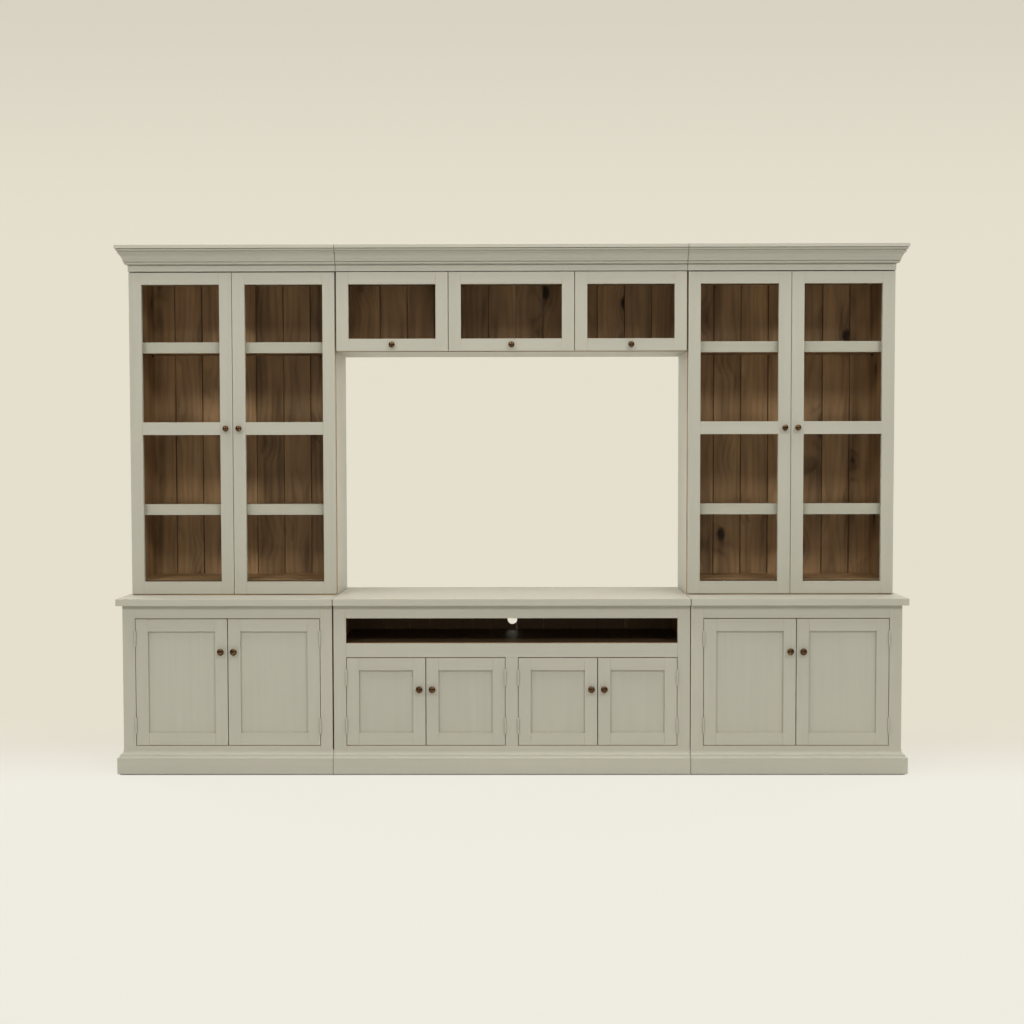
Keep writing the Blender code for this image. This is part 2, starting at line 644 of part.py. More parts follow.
def make_hutch_carcasses():
    """Make the hutch carcasses, with a fixed shelf behind the bar of the doors."""
    carcass_ys = (CARCASS_FRONT_Y, BACK_Y)
    board_ys = (CARCASS_FRONT_Y, INNER_BACK_Y - SEAT_GAP)
    floor_top = BASE_HEIGHT + HUTCH_FLOOR
    bar_z = BASE_HEIGHT + BAR_CENTRE
    for word, side in SIDES.items():
        inner = span(side, WING_INNER_X + BOARD - EMBED, OUTER_X - BOARD + EMBED)
        bodies = [
            slab(span(side, WING_INNER_X, WING_INNER_X + BOARD), carcass_ys, (HUTCH_FOOT, HUTCH_TOP)),
            slab(span(side, OUTER_X - BOARD, OUTER_X), carcass_ys, (HUTCH_FOOT, HUTCH_TOP)),
            slab(inner, board_ys, (HUTCH_TOP - BOARD, HUTCH_TOP)),
            slab(inner, board_ys, (floor_top - BOARD, floor_top)),
            slab(inner, board_ys, (bar_z - BOARD / 2, bar_z + BOARD / 2)),
            slab(inner, (CARCASS_FRONT_Y, CARCASS_FRONT_Y + BOARD), (HUTCH_FOOT, floor_top - EMBED)),
        ]
        for height in SHELF_HEIGHTS.values():
            bodies += shelf_pegs(side, BASE_HEIGHT + height)
        make_piece(f"hutch_{word}_carcass", fuse(bodies), PAINT)


def make_hutch_backs():
    """Make the boarded backs that sit between the hutch sides."""
    for word, side in SIDES.items():
        near, far = WING_INNER_X + BOARD, OUTER_X - BOARD
        xs = span(side, near + SEAT_GAP, far - SEAT_GAP)
        panel = boarded_back(xs, groove_places(side, near, far), (HUTCH_FOOT, HUTCH_TOP))
        make_piece(f"hutch_{word}_back", panel, PINE)


def make_hutch_shelves():
    """Make the loose shelves, each with a deeper lip along its front."""
    front = CARCASS_FRONT_Y + SHELF_SETBACK
    lip_ys = (front, front + SHELF_LIP_DEPTH)
    board_ys = (lip_ys[1] - EMBED, INNER_BACK_Y - SEAT_GAP)
    for word, side in SIDES.items():
        xs = span(side, WING_INNER_X + BOARD + SEAT_GAP, OUTER_X - BOARD - SEAT_GAP)
        for level, height in SHELF_HEIGHTS.items():
            lip_foot = BASE_HEIGHT + height
            lip_top = lip_foot + SHELF_LIP_HEIGHT
            board_top = lip_top - SHELF_DROP
            bodies = [
                slab(xs, lip_ys, (lip_foot, lip_top)),
                slab(xs, board_ys, (board_top - SHELF_THICKNESS, board_top)),
            ]
            make_piece(f"hutch_{word}_shelf_{level}", fuse(bodies), PAINT)


def glazed_frame(xs, zs, bar=None):
    """Return a door frame with a groove for its glass, and an optional bar across."""
    back = HUTCH_FACE_Y + DOOR_THICKNESS
    groove_front = HUTCH_FACE_Y + GLASS_FRONT
    groove_ys = (groove_front, groove_front + GLASS_THICKNESS + 2 * SEAT_GAP)
    open_xs = (xs[0] + GLAZED_STILE, xs[1] - GLAZED_STILE)
    open_zs = (zs[0] + GLAZED_RAIL, zs[1] - GLAZED_RAIL)
    lights = [(open_zs[0], bar[0]), (bar[1], open_zs[1])] if bar else [open_zs]
    front_ys = (HUTCH_FACE_Y - EMBED, groove_ys[1])
    cuts = [slab(open_xs, front_ys, light) for light in lights]
    cuts.append(slab(open_xs, (groove_front, back + EMBED), open_zs))
    groove_xs = (open_xs[0] - GLASS_BITE, open_xs[1] + GLASS_BITE)
    groove_zs = (open_zs[0] - GLASS_BITE, open_zs[1] + GLASS_BITE)
    cuts.append(slab(groove_xs, groove_ys, groove_zs))
    pane = slab((groove_xs[0] + SEAT_GAP, groove_xs[1] - SEAT_GAP),
                (groove_ys[0] + SEAT_GAP, groove_ys[1] - SEAT_GAP),
                (groove_zs[0] + SEAT_GAP, groove_zs[1] - SEAT_GAP))
    return fuse([slab(xs, (HUTCH_FACE_Y, back), zs)], cuts), pane


def make_hutch_doors():
    """Make the glazed hutch doors, hung on the outer edges of each pair."""
    zs = (BASE_HEIGHT + DOOR_FOOT, DOOR_TOP)
    bar_z = BASE_HEIGHT + BAR_CENTRE
    bar = (bar_z - BAR_HEIGHT / 2, bar_z + BAR_HEIGHT / 2)
    for word, side in SIDES.items():
        low, high = span(side, WING_INNER_X + DOOR_REVEAL, OUTER_X - DOOR_REVEAL)
        middle = (low + high) / 2
        leaves = {"l": ((low, middle - DOOR_GAP / 2), -1), "r": ((middle + DOOR_GAP / 2, high), 1)}
        for hand_word, (xs, hand) in leaves.items():
            name = f"hutch_{word}_door_{hand_word}"
            hung, free = (xs[0], xs[1]) if hand < 0 else (xs[1], xs[0])
            pivot = make_pivot(f"{name}_axis", (hung, HUTCH_FACE_Y, zs[0]))
            frame, pane = glazed_frame(xs, zs, bar)
            make_piece(name, frame, PAINT, pivot)
            make_piece(f"{name}_glass", pane, GLASS, pivot)
            knob_place = (free + hand * GLAZED_STILE / 2, HUTCH_FACE_Y, bar_z)
            make_knob(f"{name}_knob", UPPER_KNOB_DIAMETER, knob_place, pivot)


def make_bridge():
    """Make the carcass of the bridge and its boarded back."""
    inner_x = BRIDGE_SIDE_X - BOARD
    carcass_ys = (CARCASS_FRONT_Y, BACK_Y)
    board_ys = (CARCASS_FRONT_Y, INNER_BACK_Y - SEAT_GAP)
    whole = (BRIDGE_FOOT, HUTCH_TOP)
    board_xs = (-inner_x - EMBED, inner_x + EMBED)
    divider_zs = (BRIDGE_FOOT + BOARD - EMBED, HUTCH_TOP - BOARD + EMBED)
    bodies = [
        slab((-BRIDGE_SIDE_X, -inner_x), carcass_ys, whole),
        slab((inner_x, BRIDGE_SIDE_X), carcass_ys, whole),
        slab(board_xs, carcass_ys, (BRIDGE_FOOT, BRIDGE_FOOT + BOARD)),
        slab(board_xs, board_ys, (HUTCH_TOP - BOARD, HUTCH_TOP)),
    ]
    for x in (-CENTRE_BAY / 2, CENTRE_BAY / 2):
        bodies.append(slab((x - BOARD / 2, x + BOARD / 2), board_ys, divider_zs))
    make_piece("bridge_carcass", fuse(bodies), PAINT)
    panel_x = inner_x - SEAT_GAP
    panel_zs = (BRIDGE_FOOT + BOARD + SEAT_GAP, HUTCH_TOP)
    panel = boarded_back((-panel_x, panel_x), groove_places(1, -inner_x, inner_x), panel_zs)
    make_piece("bridge_back", panel, PINE)


def make_flaps():
    """Make the three glazed flaps of the bridge, hung on their top front edges."""
    zs = (BRIDGE_FOOT + FLAP_FOOT, DOOR_TOP)
    end = BRIDGE_SIDE_X - DOOR_REVEAL
    gap = DOOR_GAP / 2
    split = CENTRE_BAY / 2
    runs = {"left": (-end, -split - gap), "centre": (gap - split, split - gap), "right": (split + gap, end)}
    for word, xs in runs.items():
        name = f"bridge_flap_{word}"
        middle = sum(xs) / 2
        pivot = make_pivot(f"{name}_axis", (middle, HUTCH_FACE_Y, zs[1]))
        frame, pane = glazed_frame(xs, zs)
        make_piece(name, frame, PAINT, pivot)
        make_piece(f"{name}_glass", pane, GLASS, pivot)
        knob_place = (middle, HUTCH_FACE_Y, zs[0] + GLAZED_RAIL / 2)
        make_knob(f"{name}_knob", UPPER_KNOB_DIAMETER, knob_place, pivot)


def main():
    """Build the whole unit."""
    clear_scene()
    make_wing_bases()
    make_centre_base()
    make_worktops()
    make_plinths()
    make_base_doors()
    make_hutch_carcasses()
    make_hutch_backs()
    make_hutch_shelves()
    make_hutch_doors()
    make_bridge()
    make_flaps()
    make_cornices()


main()
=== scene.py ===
"""Looks of a painted media wall unit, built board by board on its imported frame."""

import json
import math
import random

import bmesh
import bpy
from mathutils import Matrix, Vector


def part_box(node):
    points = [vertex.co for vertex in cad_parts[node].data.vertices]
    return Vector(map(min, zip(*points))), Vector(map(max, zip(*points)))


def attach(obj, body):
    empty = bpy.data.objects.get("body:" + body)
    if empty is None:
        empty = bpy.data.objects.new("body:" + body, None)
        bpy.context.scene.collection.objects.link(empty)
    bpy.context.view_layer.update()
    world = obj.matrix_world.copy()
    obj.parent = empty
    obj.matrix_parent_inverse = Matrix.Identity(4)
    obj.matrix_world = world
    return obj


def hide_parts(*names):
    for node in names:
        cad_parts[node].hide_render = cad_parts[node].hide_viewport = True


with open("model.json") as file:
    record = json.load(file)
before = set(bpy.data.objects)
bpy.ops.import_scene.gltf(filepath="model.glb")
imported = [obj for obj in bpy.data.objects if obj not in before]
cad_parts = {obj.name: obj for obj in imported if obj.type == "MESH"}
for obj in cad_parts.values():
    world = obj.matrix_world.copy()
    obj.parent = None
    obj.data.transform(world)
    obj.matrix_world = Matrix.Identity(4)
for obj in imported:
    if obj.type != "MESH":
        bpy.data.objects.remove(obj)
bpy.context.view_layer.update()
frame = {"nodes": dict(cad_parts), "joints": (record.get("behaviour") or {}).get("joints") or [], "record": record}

bl_info = {
    "name": "Painted Media Wall Unit",
    "version": (1, 0, 0),
    "blender": (4, 5, 0),
    "location": "View3D > Sidebar > Wall Unit",
    "description": "Builds the boards, doors, ironmongery and finishes of a painted media wall unit",
    "category": "Object",
}

X, Y, Z = range(3)
PAINT, STAIN, RUBBED = range(3)
BOARD_FINISHES = ("brushed_paint", "stained_boards", "rubbed_arris")
WINGS = {"left": -1, "right": 1}
THIRDS = {"left": -1, "centre": 0, "right": 1}

# Clearances and trims, in metres
SEAT = 0.0003               # pieces that rest on each other stand this far apart
REVEAL = 0.0007             # neighbouring mouldings stop this far short of their joint
WORKTOP_REVEAL = 1.6 * REVEAL
CLEAR = 0.001               # the record's openings stop this far short of the boards
TRIM = 0.0006               # planed off the tops and meeting edges of inset doors
END_TRIM = 2 * TRIM         # planed off where hutches and bridge meet, and off the tops of hutch doors
FLAP_TRIM = TRIM / 2        # planed off where flaps meet
WING_TRIM = 4 * TRIM        # planed off the left wing where it meets the centre
TONGUE_GAP = 0.0001         # a back board stops this far short of its joint
SAME = 1e-4                 # points closer than this count as one
FLAT, FACING = 0.99, 0.9    # least share of a normal along an axis: of a flat face, and of one that looks that way
SHARP_ANGLE = 40            # degrees, above which an edge is eased
GRAIN_RANGE = 60            # boards are cut from anywhere along this length of grain

# Small joinery, in metres
PANEL_EASE = 0.0004
BACK_EASE = 0.0003
LIP_EASE = 0.001
LIPPING = 0.006             # strip along the front of a hutch floor, toned dark as painted shade behind the door rail
FLOOR_BOARD = 0.110         # width of the front board of a hutch floor
SOLE_INSET = 0.003          # strip under the hutch doors: short of the sides, deep and high
SOLE_DEPTH = 0.0185
SOLE_HEIGHT = 0.0026
SHELF_LIP = 0.018           # depth of the lip of a loose shelf
SHELF_DROP = 0.006          # top of the lip to the top of the shelf
SHELF_FOOT = 0.034          # top of the lip to the underside of the shelf
PEG_RADIUS = 0.003
PEG_LENGTH = 0.010
PEG_INSET = 0.045           # from the front and back of a shelf
PEG_EASE = 0.001
PLINTH_FOOT = 0.0030        # height of the strip that a plinth stands on
STRIP_INSET = 0.010         # that strip from the end of the plinth
STRIP_YS = (0.004, 0.018)   # and from its front
STRIP_TURN = 0.0185         # front of the plinth to the strip along its end
CORNICE_WALL = 0.022        # from the frieze to the back of the moulding
CORNICE_BOARD = 0.020       # boards that box it in
DUST_PANEL = (0.029, 0.020)     # underside and top of the dust panel, below the top
MITRE_SPARE = 0.2           # a moulding is run on this far, and then mitred
WALL_SPARE = 2              # its return is run on this far, and then set back to the wall
DRILL_DEPTH = 0.2
KNUCKLES = 5
KNUCKLE_EASE = 0.0004
LEAF_XS = (0.0001, 0.0009)  # faces of a hinge leaf from the hinge's axis
LEAF_BACK = 0.017           # face frame to the back of a leaf
LEAF_EASE = 0.0002
KNOB_NECK = ((0.0085, 0.0), (0.0085, 0.0018), (0.0079, 0.0025), (0.0066, 0.0030), (0.0057, 0.0040),
             (0.0052, 0.0055), (0.0052, 0.0085), (0.0058, 0.0100), (0.0072, 0.0110))  # (radius, height)
KNOB_CROWN = 0.45           # share of the head that lies behind its widest ring
KNOB_STEPS = (8, 13)        # rings behind the widest one, and before it
ROD_SIDES, KNOB_SIDES, HOLE_SIDES = 24, 40, 48
TURNED_ANGLE, HINGE_ANGLE, MOULDING_ANGLE = 40, 35, 28  # degrees, above which an edge stays sharp

# Tones of stained boards: a plain board draws its own, from 0 to 1
VEE_TONE = -1.5             # stain pools in the vee joints
DUST_AND_SHADE_TONE = -1.6           # rough boards that are out of sight, dusty; on the strip under a plinth it is painted shade for the gap under the plinth
PAINTED_SHADE_TONE = -2.4            # painted shade: dark tone of the boards in the media slot, and of the lippings in the shade behind the hutch door rails
ROUGH_TONE = -0.9           # added to the unwaxed outside of the backs
SOLE_TONE = 1.0             # pale strip under the hutch doors
FLOOR_LIGHT_TONES = (-0.3, 1.6)   # front and back board of a hutch floor, toned to even out the light on it: the front darker as painted shade, the back lighter as painted light
TURN = 6.2832               # one growth ring, as an angle

# Stage: name, place, target, width and height, watts, and whether it shows in reflections
LAMPS = (
    ("left_lamp", (-4.1, -7.9, 6.4), (0, 0, 1.0), (2.5, 2.0), 232, True),
    ("right_lamp", (4.1, -7.9, 6.4), (0, 0, 1.0), (2.5, 2.0), 240, True),
    ("overhead_lamp", (0, -0.8, 5.0), (0, -0.2, 0.7), (6.0, 1.8), 178, True),
    ("fill_lamp", (0, -6.6, 0.8), (0, 0, 1.2), (5.0, 0.8), 42, False),
    ("backdrop_lamp", (0, 1.4, 0.15), (0, 4.0, 2.2), (6.0, 0.6), 300, True),
    ("left_rear_lamp", (-3.6, 1.9, 2.0), (0.7, 0.1, 1.1), (1.6, 1.6), 56, False),
    ("right_rear_lamp", (3.6, 1.9, 2.0), (-0.7, 0.1, 1.1), (1.6, 1.6), 52, False),
)
ROOM_LIGHT = 0.33
SENSOR = 36                 # millimetres
FOCAL_SHARE = 1410.18 / 1024    # focal length over the width of the picture
CAMERA_X, CAMERA_DISTANCE, CAMERA_Z = 0.0388, 6.0167, 1.2638    # distance from the back of the unit
CAMERA_PAN, CAMERA_TILT, CAMERA_ROLL = 0.0066, -0.0408, -0.0016
FLOOR_Y, FLOOR_SIZE = -1.25, (20, 10.5, 1)
BACKDROP_HEIGHT, SWEEP_RADIUS, SWEEP_SEGMENTS = 8, 2.0, 16
UNDER_FRONT, UNDER_BACK = (-0.264, -0.246), (0.27, 0.25)    # contact shadow under the unit
UNDER_SIDE = (1.560, 1.535)

OPENINGS = {opening["name"]: opening["box_m"] for opening in frame["record"]["physics"]["openings"]}
HINGES = {joint["child"]: Vector(joint["pos_m"]) for joint in frame["joints"]}


def hollow(name):
    """Return the X, Y and Z ranges of an opening, out to the boards round it."""
    low, high = OPENINGS[name]
    return [(a - CLEAR, b + CLEAR) for a, b in zip(low, high)]


def span(side, near, far):
    """Return the X range between two distances from the middle, on one side."""
    return tuple(sorted((side * near, side * far)))


def in_row(name, side, reveal):
    """Return the box of one of three nodes in a row, short of its neighbours by a reveal."""
    low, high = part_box(name)
    low.x += reveal * (side >= 0)
    high.x -= reveal * (side <= 0)
    return low, high


def knob_height(name):
    """Return the height of a door's knob, which is the middle of its bar."""
    return sum(limit.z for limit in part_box(f"{name}_knob")) / 2


CUPBOARD = hollow("right_cupboard_lower")
BASE_LOW, BASE_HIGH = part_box("base_right_carcass")
NEAR_X, OUTER_X = BASE_LOW.x, BASE_HIGH.x
INNER_NEAR, INNER_FAR = CUPBOARD[X]
BOARD = INNER_NEAR - NEAR_X
BACK_Y, BASE_TOP = BASE_HIGH.y, BASE_HIGH.z
FACE_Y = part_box("base_centre_plinth")[1].y + SEAT
FRAME_BACK, INNER_BACK = CUPBOARD[Y]
FRAME_YS, INSIDE_YS = (FACE_Y, FRAME_BACK), (FRAME_BACK, INNER_BACK)
SILL = CUPBOARD[Z][0]
HUTCH_LOW, HUTCH_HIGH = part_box("hutch_right_carcass")
CORNICE_LOW, CORNICE_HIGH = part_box("hutch_right_cornice")


def size(name, description, default):
    """Return a property that holds a length."""
    return bpy.props.FloatProperty(
        name=name, description=description, default=default, unit="LENGTH", precision=4)


def tint(name, description, default):
    """Return a property that holds a colour."""
    return bpy.props.FloatVectorProperty(
        name=name, description=description, default=default, subtype="COLOR", min=0, max=1)


class WallUnitSizes(bpy.types.PropertyGroup):
    """Sizes of the joinery that the frame doesn't give"""

    ease: size("Ease", "Rounding of the edges of a painted board", 0.0008)
    door_gap: size("Door gap", "Gap round an inset door", 0.002)
    frame_stile: size("Frame stile", "Width of the stiles of a face frame", 0.0495)
    door_stile: size("Door stile", "Width of the stiles and rails of an inset door", 0.049)
    door_thickness: size("Door thickness", "Thickness of every door and flap frame", 0.020)
    panel_recess: size("Panel recess", "Door front to the front of its panel", 0.0095)
    panel_thickness: size("Panel thickness", "Thickness of a door panel", 0.007)
    glazed_stile: size("Glazed stile", "Width of the stiles of a glazed frame", 0.050)
    glazed_rail: size("Glazed rail", "Height of the rails of a glazed frame", 0.049)
    bar_height: size("Bar", "Height of the bar across a glazed door", 0.051)
    board_pitch: size("Back board", "Width of a tongue-and-groove back board", 0.115)
    first_board: size("First back board", "Width of the first back board", 0.128)
    vee: size("Vee", "Chamfer on each long edge of a back board", 0.0022)
    stretcher: size("Stretcher", "Depth of the rail under the back of a worktop", 0.070)
    shelf_setback: size("Cupboard shelf setback", "Face frame to the front of a cupboard shelf", 0.060)
    hinge_inset: size("Hinge inset", "End of a door to the end of its butt hinge", 0.0455)
    hinge_length: size("Hinge length", "Length of a butt hinge", 0.064)
    hinge_radius: size("Hinge radius", "Radius of a butt hinge's barrel", 0.0042)
    worktop_ease: size("Worktop ease", "Rounding of the edges of a worktop", 0.0012)


class WallUnitColours(bpy.types.PropertyGroup):
    """Colours of the finishes and of the stage"""

    paint: tint("Paint", "Sage grey eggshell paint", (0.434, 0.413, 0.331))
    stain_dark: tint("Stain, late wood", "Dark lines of the stained pine", (0.096, 0.058, 0.027))
    stain_light: tint("Stain, early wood", "Pale ground of the stained pine", (0.540, 0.338, 0.163))
    bronze: tint("Bronze", "Aged bronze of the knobs", (0.084, 0.043, 0.018))
    bronze_rubbed: tint("Rubbed bronze", "Bronze where hands have rubbed it", (0.320, 0.185, 0.088))
    glass: tint("Glass", "Faint tint of the panes", (0.980, 0.980, 0.972))
    floor: tint("Floor", "Pale studio floor", (0.880, 0.850, 0.764))
    backdrop: tint("Backdrop", "Pale studio backdrop", (0.783, 0.738, 0.617))


class Socket:
    """A value in a finish. Sums on it add Math nodes."""

    def __init__(self, finish, socket):
        self.finish = finish
        self.socket = socket

    def out(self, name):
        """Return another output of the same node."""
        return Socket(self.finish, self.socket.node.outputs[name])

    def math(self, operation, first, second=0.0):
        """Add one Math node."""
        return self.finish.node("Math", {0: first, 1: second}, operation=operation)

    def __add__(self, other):
        return self.math("ADD", self, other)

    def __sub__(self, other):
        return self.math("SUBTRACT", self, other)

    def __rsub__(self, other):
        return self.math("SUBTRACT", other, self)

    def __mul__(self, other):
        return self.math("MULTIPLY", self, other)

    def __pow__(self, other):
        return self.math("POWER", self, other)

    __radd__ = __add__
    __rmul__ = __mul__


class Finish:
    """The nodes of a material, or of the world."""

    def __init__(self, owner):
        self.owner = owner
        owner.use_nodes = True
        self.tree = owner.node_tree
        self.tree.nodes.clear()

    def node(self, kind, sockets=None, output=0, **settings):
        """Add a shader node: its settings first, then the values or links of its sockets."""
        made = self.tree.nodes.new(f"ShaderNode{kind}")
        for key, value in settings.items():
            setattr(made, key, value)
        for key, value in (sockets or {}).items():
            if isinstance(value, Socket):
                self.tree.links.new(value.socket, made.inputs[key])
            else:
                made.inputs[key].default_value = value
        return Socket(self, made.outputs[output]) if len(made.outputs) else None

    def noise(self, vector, scale=1.0, detail=2.0, distortion=0.0):
        """Return soft noise about 0.5."""
        return self.node("TexNoise", {
            "Vector": vector, "Scale": scale, "Detail": detail, "Distortion": distortion})

    def stretched(self, vector, scale):
        """Scale a vector along its own axes."""
        return self.node("VectorMath", {0: vector, 1: scale}, operation="MULTIPLY")

    def grain(self, board, along, across, detail=2.0, distortion=0.0):
        """Return noise that is drawn out along a board."""
        return self.noise(self.stretched(board, (along, across, across)), 1.0, detail, distortion)

    def between(self, value, low, high):
        """Return a smooth step of a value between two limits."""
        sockets = {"Value": value, "From Min": low, "From Max": high}
        return self.node("MapRange", sockets, interpolation_type="SMOOTHSTEP")

    def mix(self, factor, first, second):
        """Mix two colours."""
        return self.node("Mix", {0: factor, 6: first, 7: second}, 2, data_type="RGBA")

    def board(self):
        """Return the place in a board: along, across and through it, in metres."""
        return self.node("Attribute", output="Vector", attribute_name="board")

    def tone(self):
        """Return the tone of a board."""
        return self.node("Attribute", output="Fac", attribute_name="tone")

    def place(self):
        """Return the place in the unit, in metres."""
        return self.node("TexCoord", output="Object")

    def bump(self, height, distance, strength):
        """Return a normal raised by a height."""
        return self.node("Bump", {"Height": height, "Distance": distance, "Strength": strength})

    def surface(self, shader):
        """Send a shader to the material's output."""
        self.node("OutputMaterial", {"Surface": shader})
        return self.owner

    def coat(self, sockets):
        """Send a plain surface with these sockets to the material's output."""
        return self.surface(self.node("BsdfPrincipled", sockets))


def rgba(colour, level=1.0):
    """Return a colour with its alpha, at a level of brightness."""
    return tuple(min(1.0, part * level) for part in colour) + (1.0,)


def paint_colour(finish, colours):
    """Return the paint's colour and its brush marks: (colour, bristles, sweep)."""
    board = finish.board()
    bristles = finish.grain(board, 4.0, 430.0, detail=3.0)
    sweep = finish.grain(board, 1.6, 46.0, distortion=0.3)
    drift = finish.noise(finish.place(), scale=2.3, detail=3.0)
    light = (0.5 + 0.55 * (sweep - 0.5) + 0.40 * (bristles - 0.5)
             + 0.55 * (drift - 0.5) + 0.16 * (finish.tone() - 0.5))
    colour = finish.mix(light, rgba(colours.paint, 0.92), rgba(colours.paint, 1.08))
    return colour, bristles, sweep


def make_paint(colours):
    """Brushed eggshell paint: bristle marks and sweeps along each board."""
    finish = Finish(bpy.data.materials.new("brushed_paint"))
    colour, bristles, sweep = paint_colour(finish, colours)
    grain = finish.grain(finish.board(), 2.4, 130.0, distortion=0.8)
    return finish.coat({
        "Base Color": colour,
        "Roughness": 0.47 + 0.14 * (sweep - 0.5) + 0.10 * (bristles - 0.5),
        "Normal": finish.bump(0.6 * bristles + 0.5 * grain + 0.3 * sweep, 0.00025, 0.35),
        "Specular IOR Level": 0.4})


def make_rubbed(colours):
    """The same paint on an arris, worn through to the stain here and there."""
    finish = Finish(bpy.data.materials.new("rubbed_arris"))
    colour = paint_colour(finish, colours)[0]
    place = finish.place()
    worn = finish.between(finish.noise(place, scale=34.0, detail=4.0), 0.53, 0.60)
    worn = worn * finish.between(finish.noise(place, scale=3.0, detail=1.0), 0.38, 0.62)
    return finish.coat({
        "Base Color": finish.mix(0.75 * worn, colour, rgba(colours.stain_light, 0.75)),
        "Roughness": 0.45 + 0.12 * worn,
        "Specular IOR Level": 0.4})


def make_stain(colours):
    """Dark stained and waxed pine: broad streaks, growth rings, fibres and knots in each board."""
    finish = Finish(bpy.data.materials.new("stained_boards"))
    board, tone = finish.board(), finish.tone()
    across = finish.node("SeparateXYZ", {0: board}, "Y")
    through = across.out("Z")
    cells = {"Vector": finish.stretched(board, (5.2, 8.5, 1.0)), "Scale": 1.0}
    cell = finish.node("TexVoronoi", cells, "Distance")
    kept = finish.between(finish.node("SeparateColor", {0: cell.out("Color")}), 0.60, 0.61)
    ragged = cell + 0.10 * (finish.grain(board, 60.0, 90.0) - 0.5)
    knot = finish.between(ragged, 0.20, 0.10) * kept
    halo = finish.between(cell, 0.60, 0.08) * kept
    warp = finish.grain(board, 1.3, 6.0)
    from_pith = (across + 0.16 * (tone - 0.5)) ** 2.0 + (through + 0.035) ** 2.0
    rings = from_pith ** 0.5 * 46.0 + 5.2 * warp + 1.5 * halo
    late = (0.5 + 0.5 * rings.math("SINE", TURN * rings)) ** 2.2
    fibre = finish.grain(board, 9.0, 520.0)
    streak = finish.grain(board, 1.1, 26.0)
    cloud = finish.grain(board, 3.0, 11.0, detail=3.0)
    light = (0.60 - 0.15 * late + 0.34 * (fibre - 0.5) + 0.75 * (streak - 0.5)
             + 1.00 * (cloud - 0.5) + 0.24 * (tone - 0.5) - 0.22 * halo)
    ground = finish.mix(light, rgba(colours.stain_dark), rgba(colours.stain_light))
    return finish.coat({
        "Base Color": finish.mix(0.92 * knot, ground, rgba(colours.stain_dark, 0.30)),
        "Roughness": 0.50 + 0.16 * (fibre - 0.5) - 0.08 * late,
        "Normal": finish.bump(0.6 * fibre + 0.4 * late - 0.6 * knot, 0.0004, 0.4),
        "Specular IOR Level": 0.25})


def make_bronze(colours):
    """Dark aged bronze, rubbed brighter on parts of its skin."""
    finish = Finish(bpy.data.materials.new("turned_bronze"))
    place = finish.place()
    blotch = finish.noise(place, scale=150.0, detail=4.0)
    pits = finish.noise(place, scale=900.0)
    rubbed = finish.between(blotch, 0.46, 0.72)
    return finish.coat({
        "Base Color": finish.mix(rubbed, rgba(colours.bronze), rgba(colours.bronze_rubbed)),
        "Roughness": 0.27 - 0.07 * rubbed + 0.12 * (pits - 0.5),
        "Normal": finish.bump(0.6 * pits + 0.4 * blotch, 0.0002, 0.3),
        "Metallic": 0.9})


def make_glass(colours):
    """Clear float glass: the eye meets the pane, the light goes straight through."""
    finish = Finish(bpy.data.materials.new("pane_glass"))
    colour = rgba(colours.glass)
    pane = finish.node("BsdfPrincipled", {
        "Base Color": colour, "Roughness": 0.0, "IOR": 1.45, "Transmission Weight": 1.0})
    clear = finish.node("BsdfTransparent", {"Color": colour})
    light = finish.node("LightPath", output="Is Shadow Ray")
    light = light.math("MAXIMUM", light, light.out("Is Diffuse Ray"))
    return finish.surface(finish.node("MixShader", {0: light, 1: pane, 2: clear}))


def deselect():
    """Leave nothing selected."""
    bpy.ops.object.select_all(action="DESELECT")


def move(step):
    """Return what an extrusion or a copy is told about its move."""
    return {"TRANSFORM_OT_translate": {"value": step}}


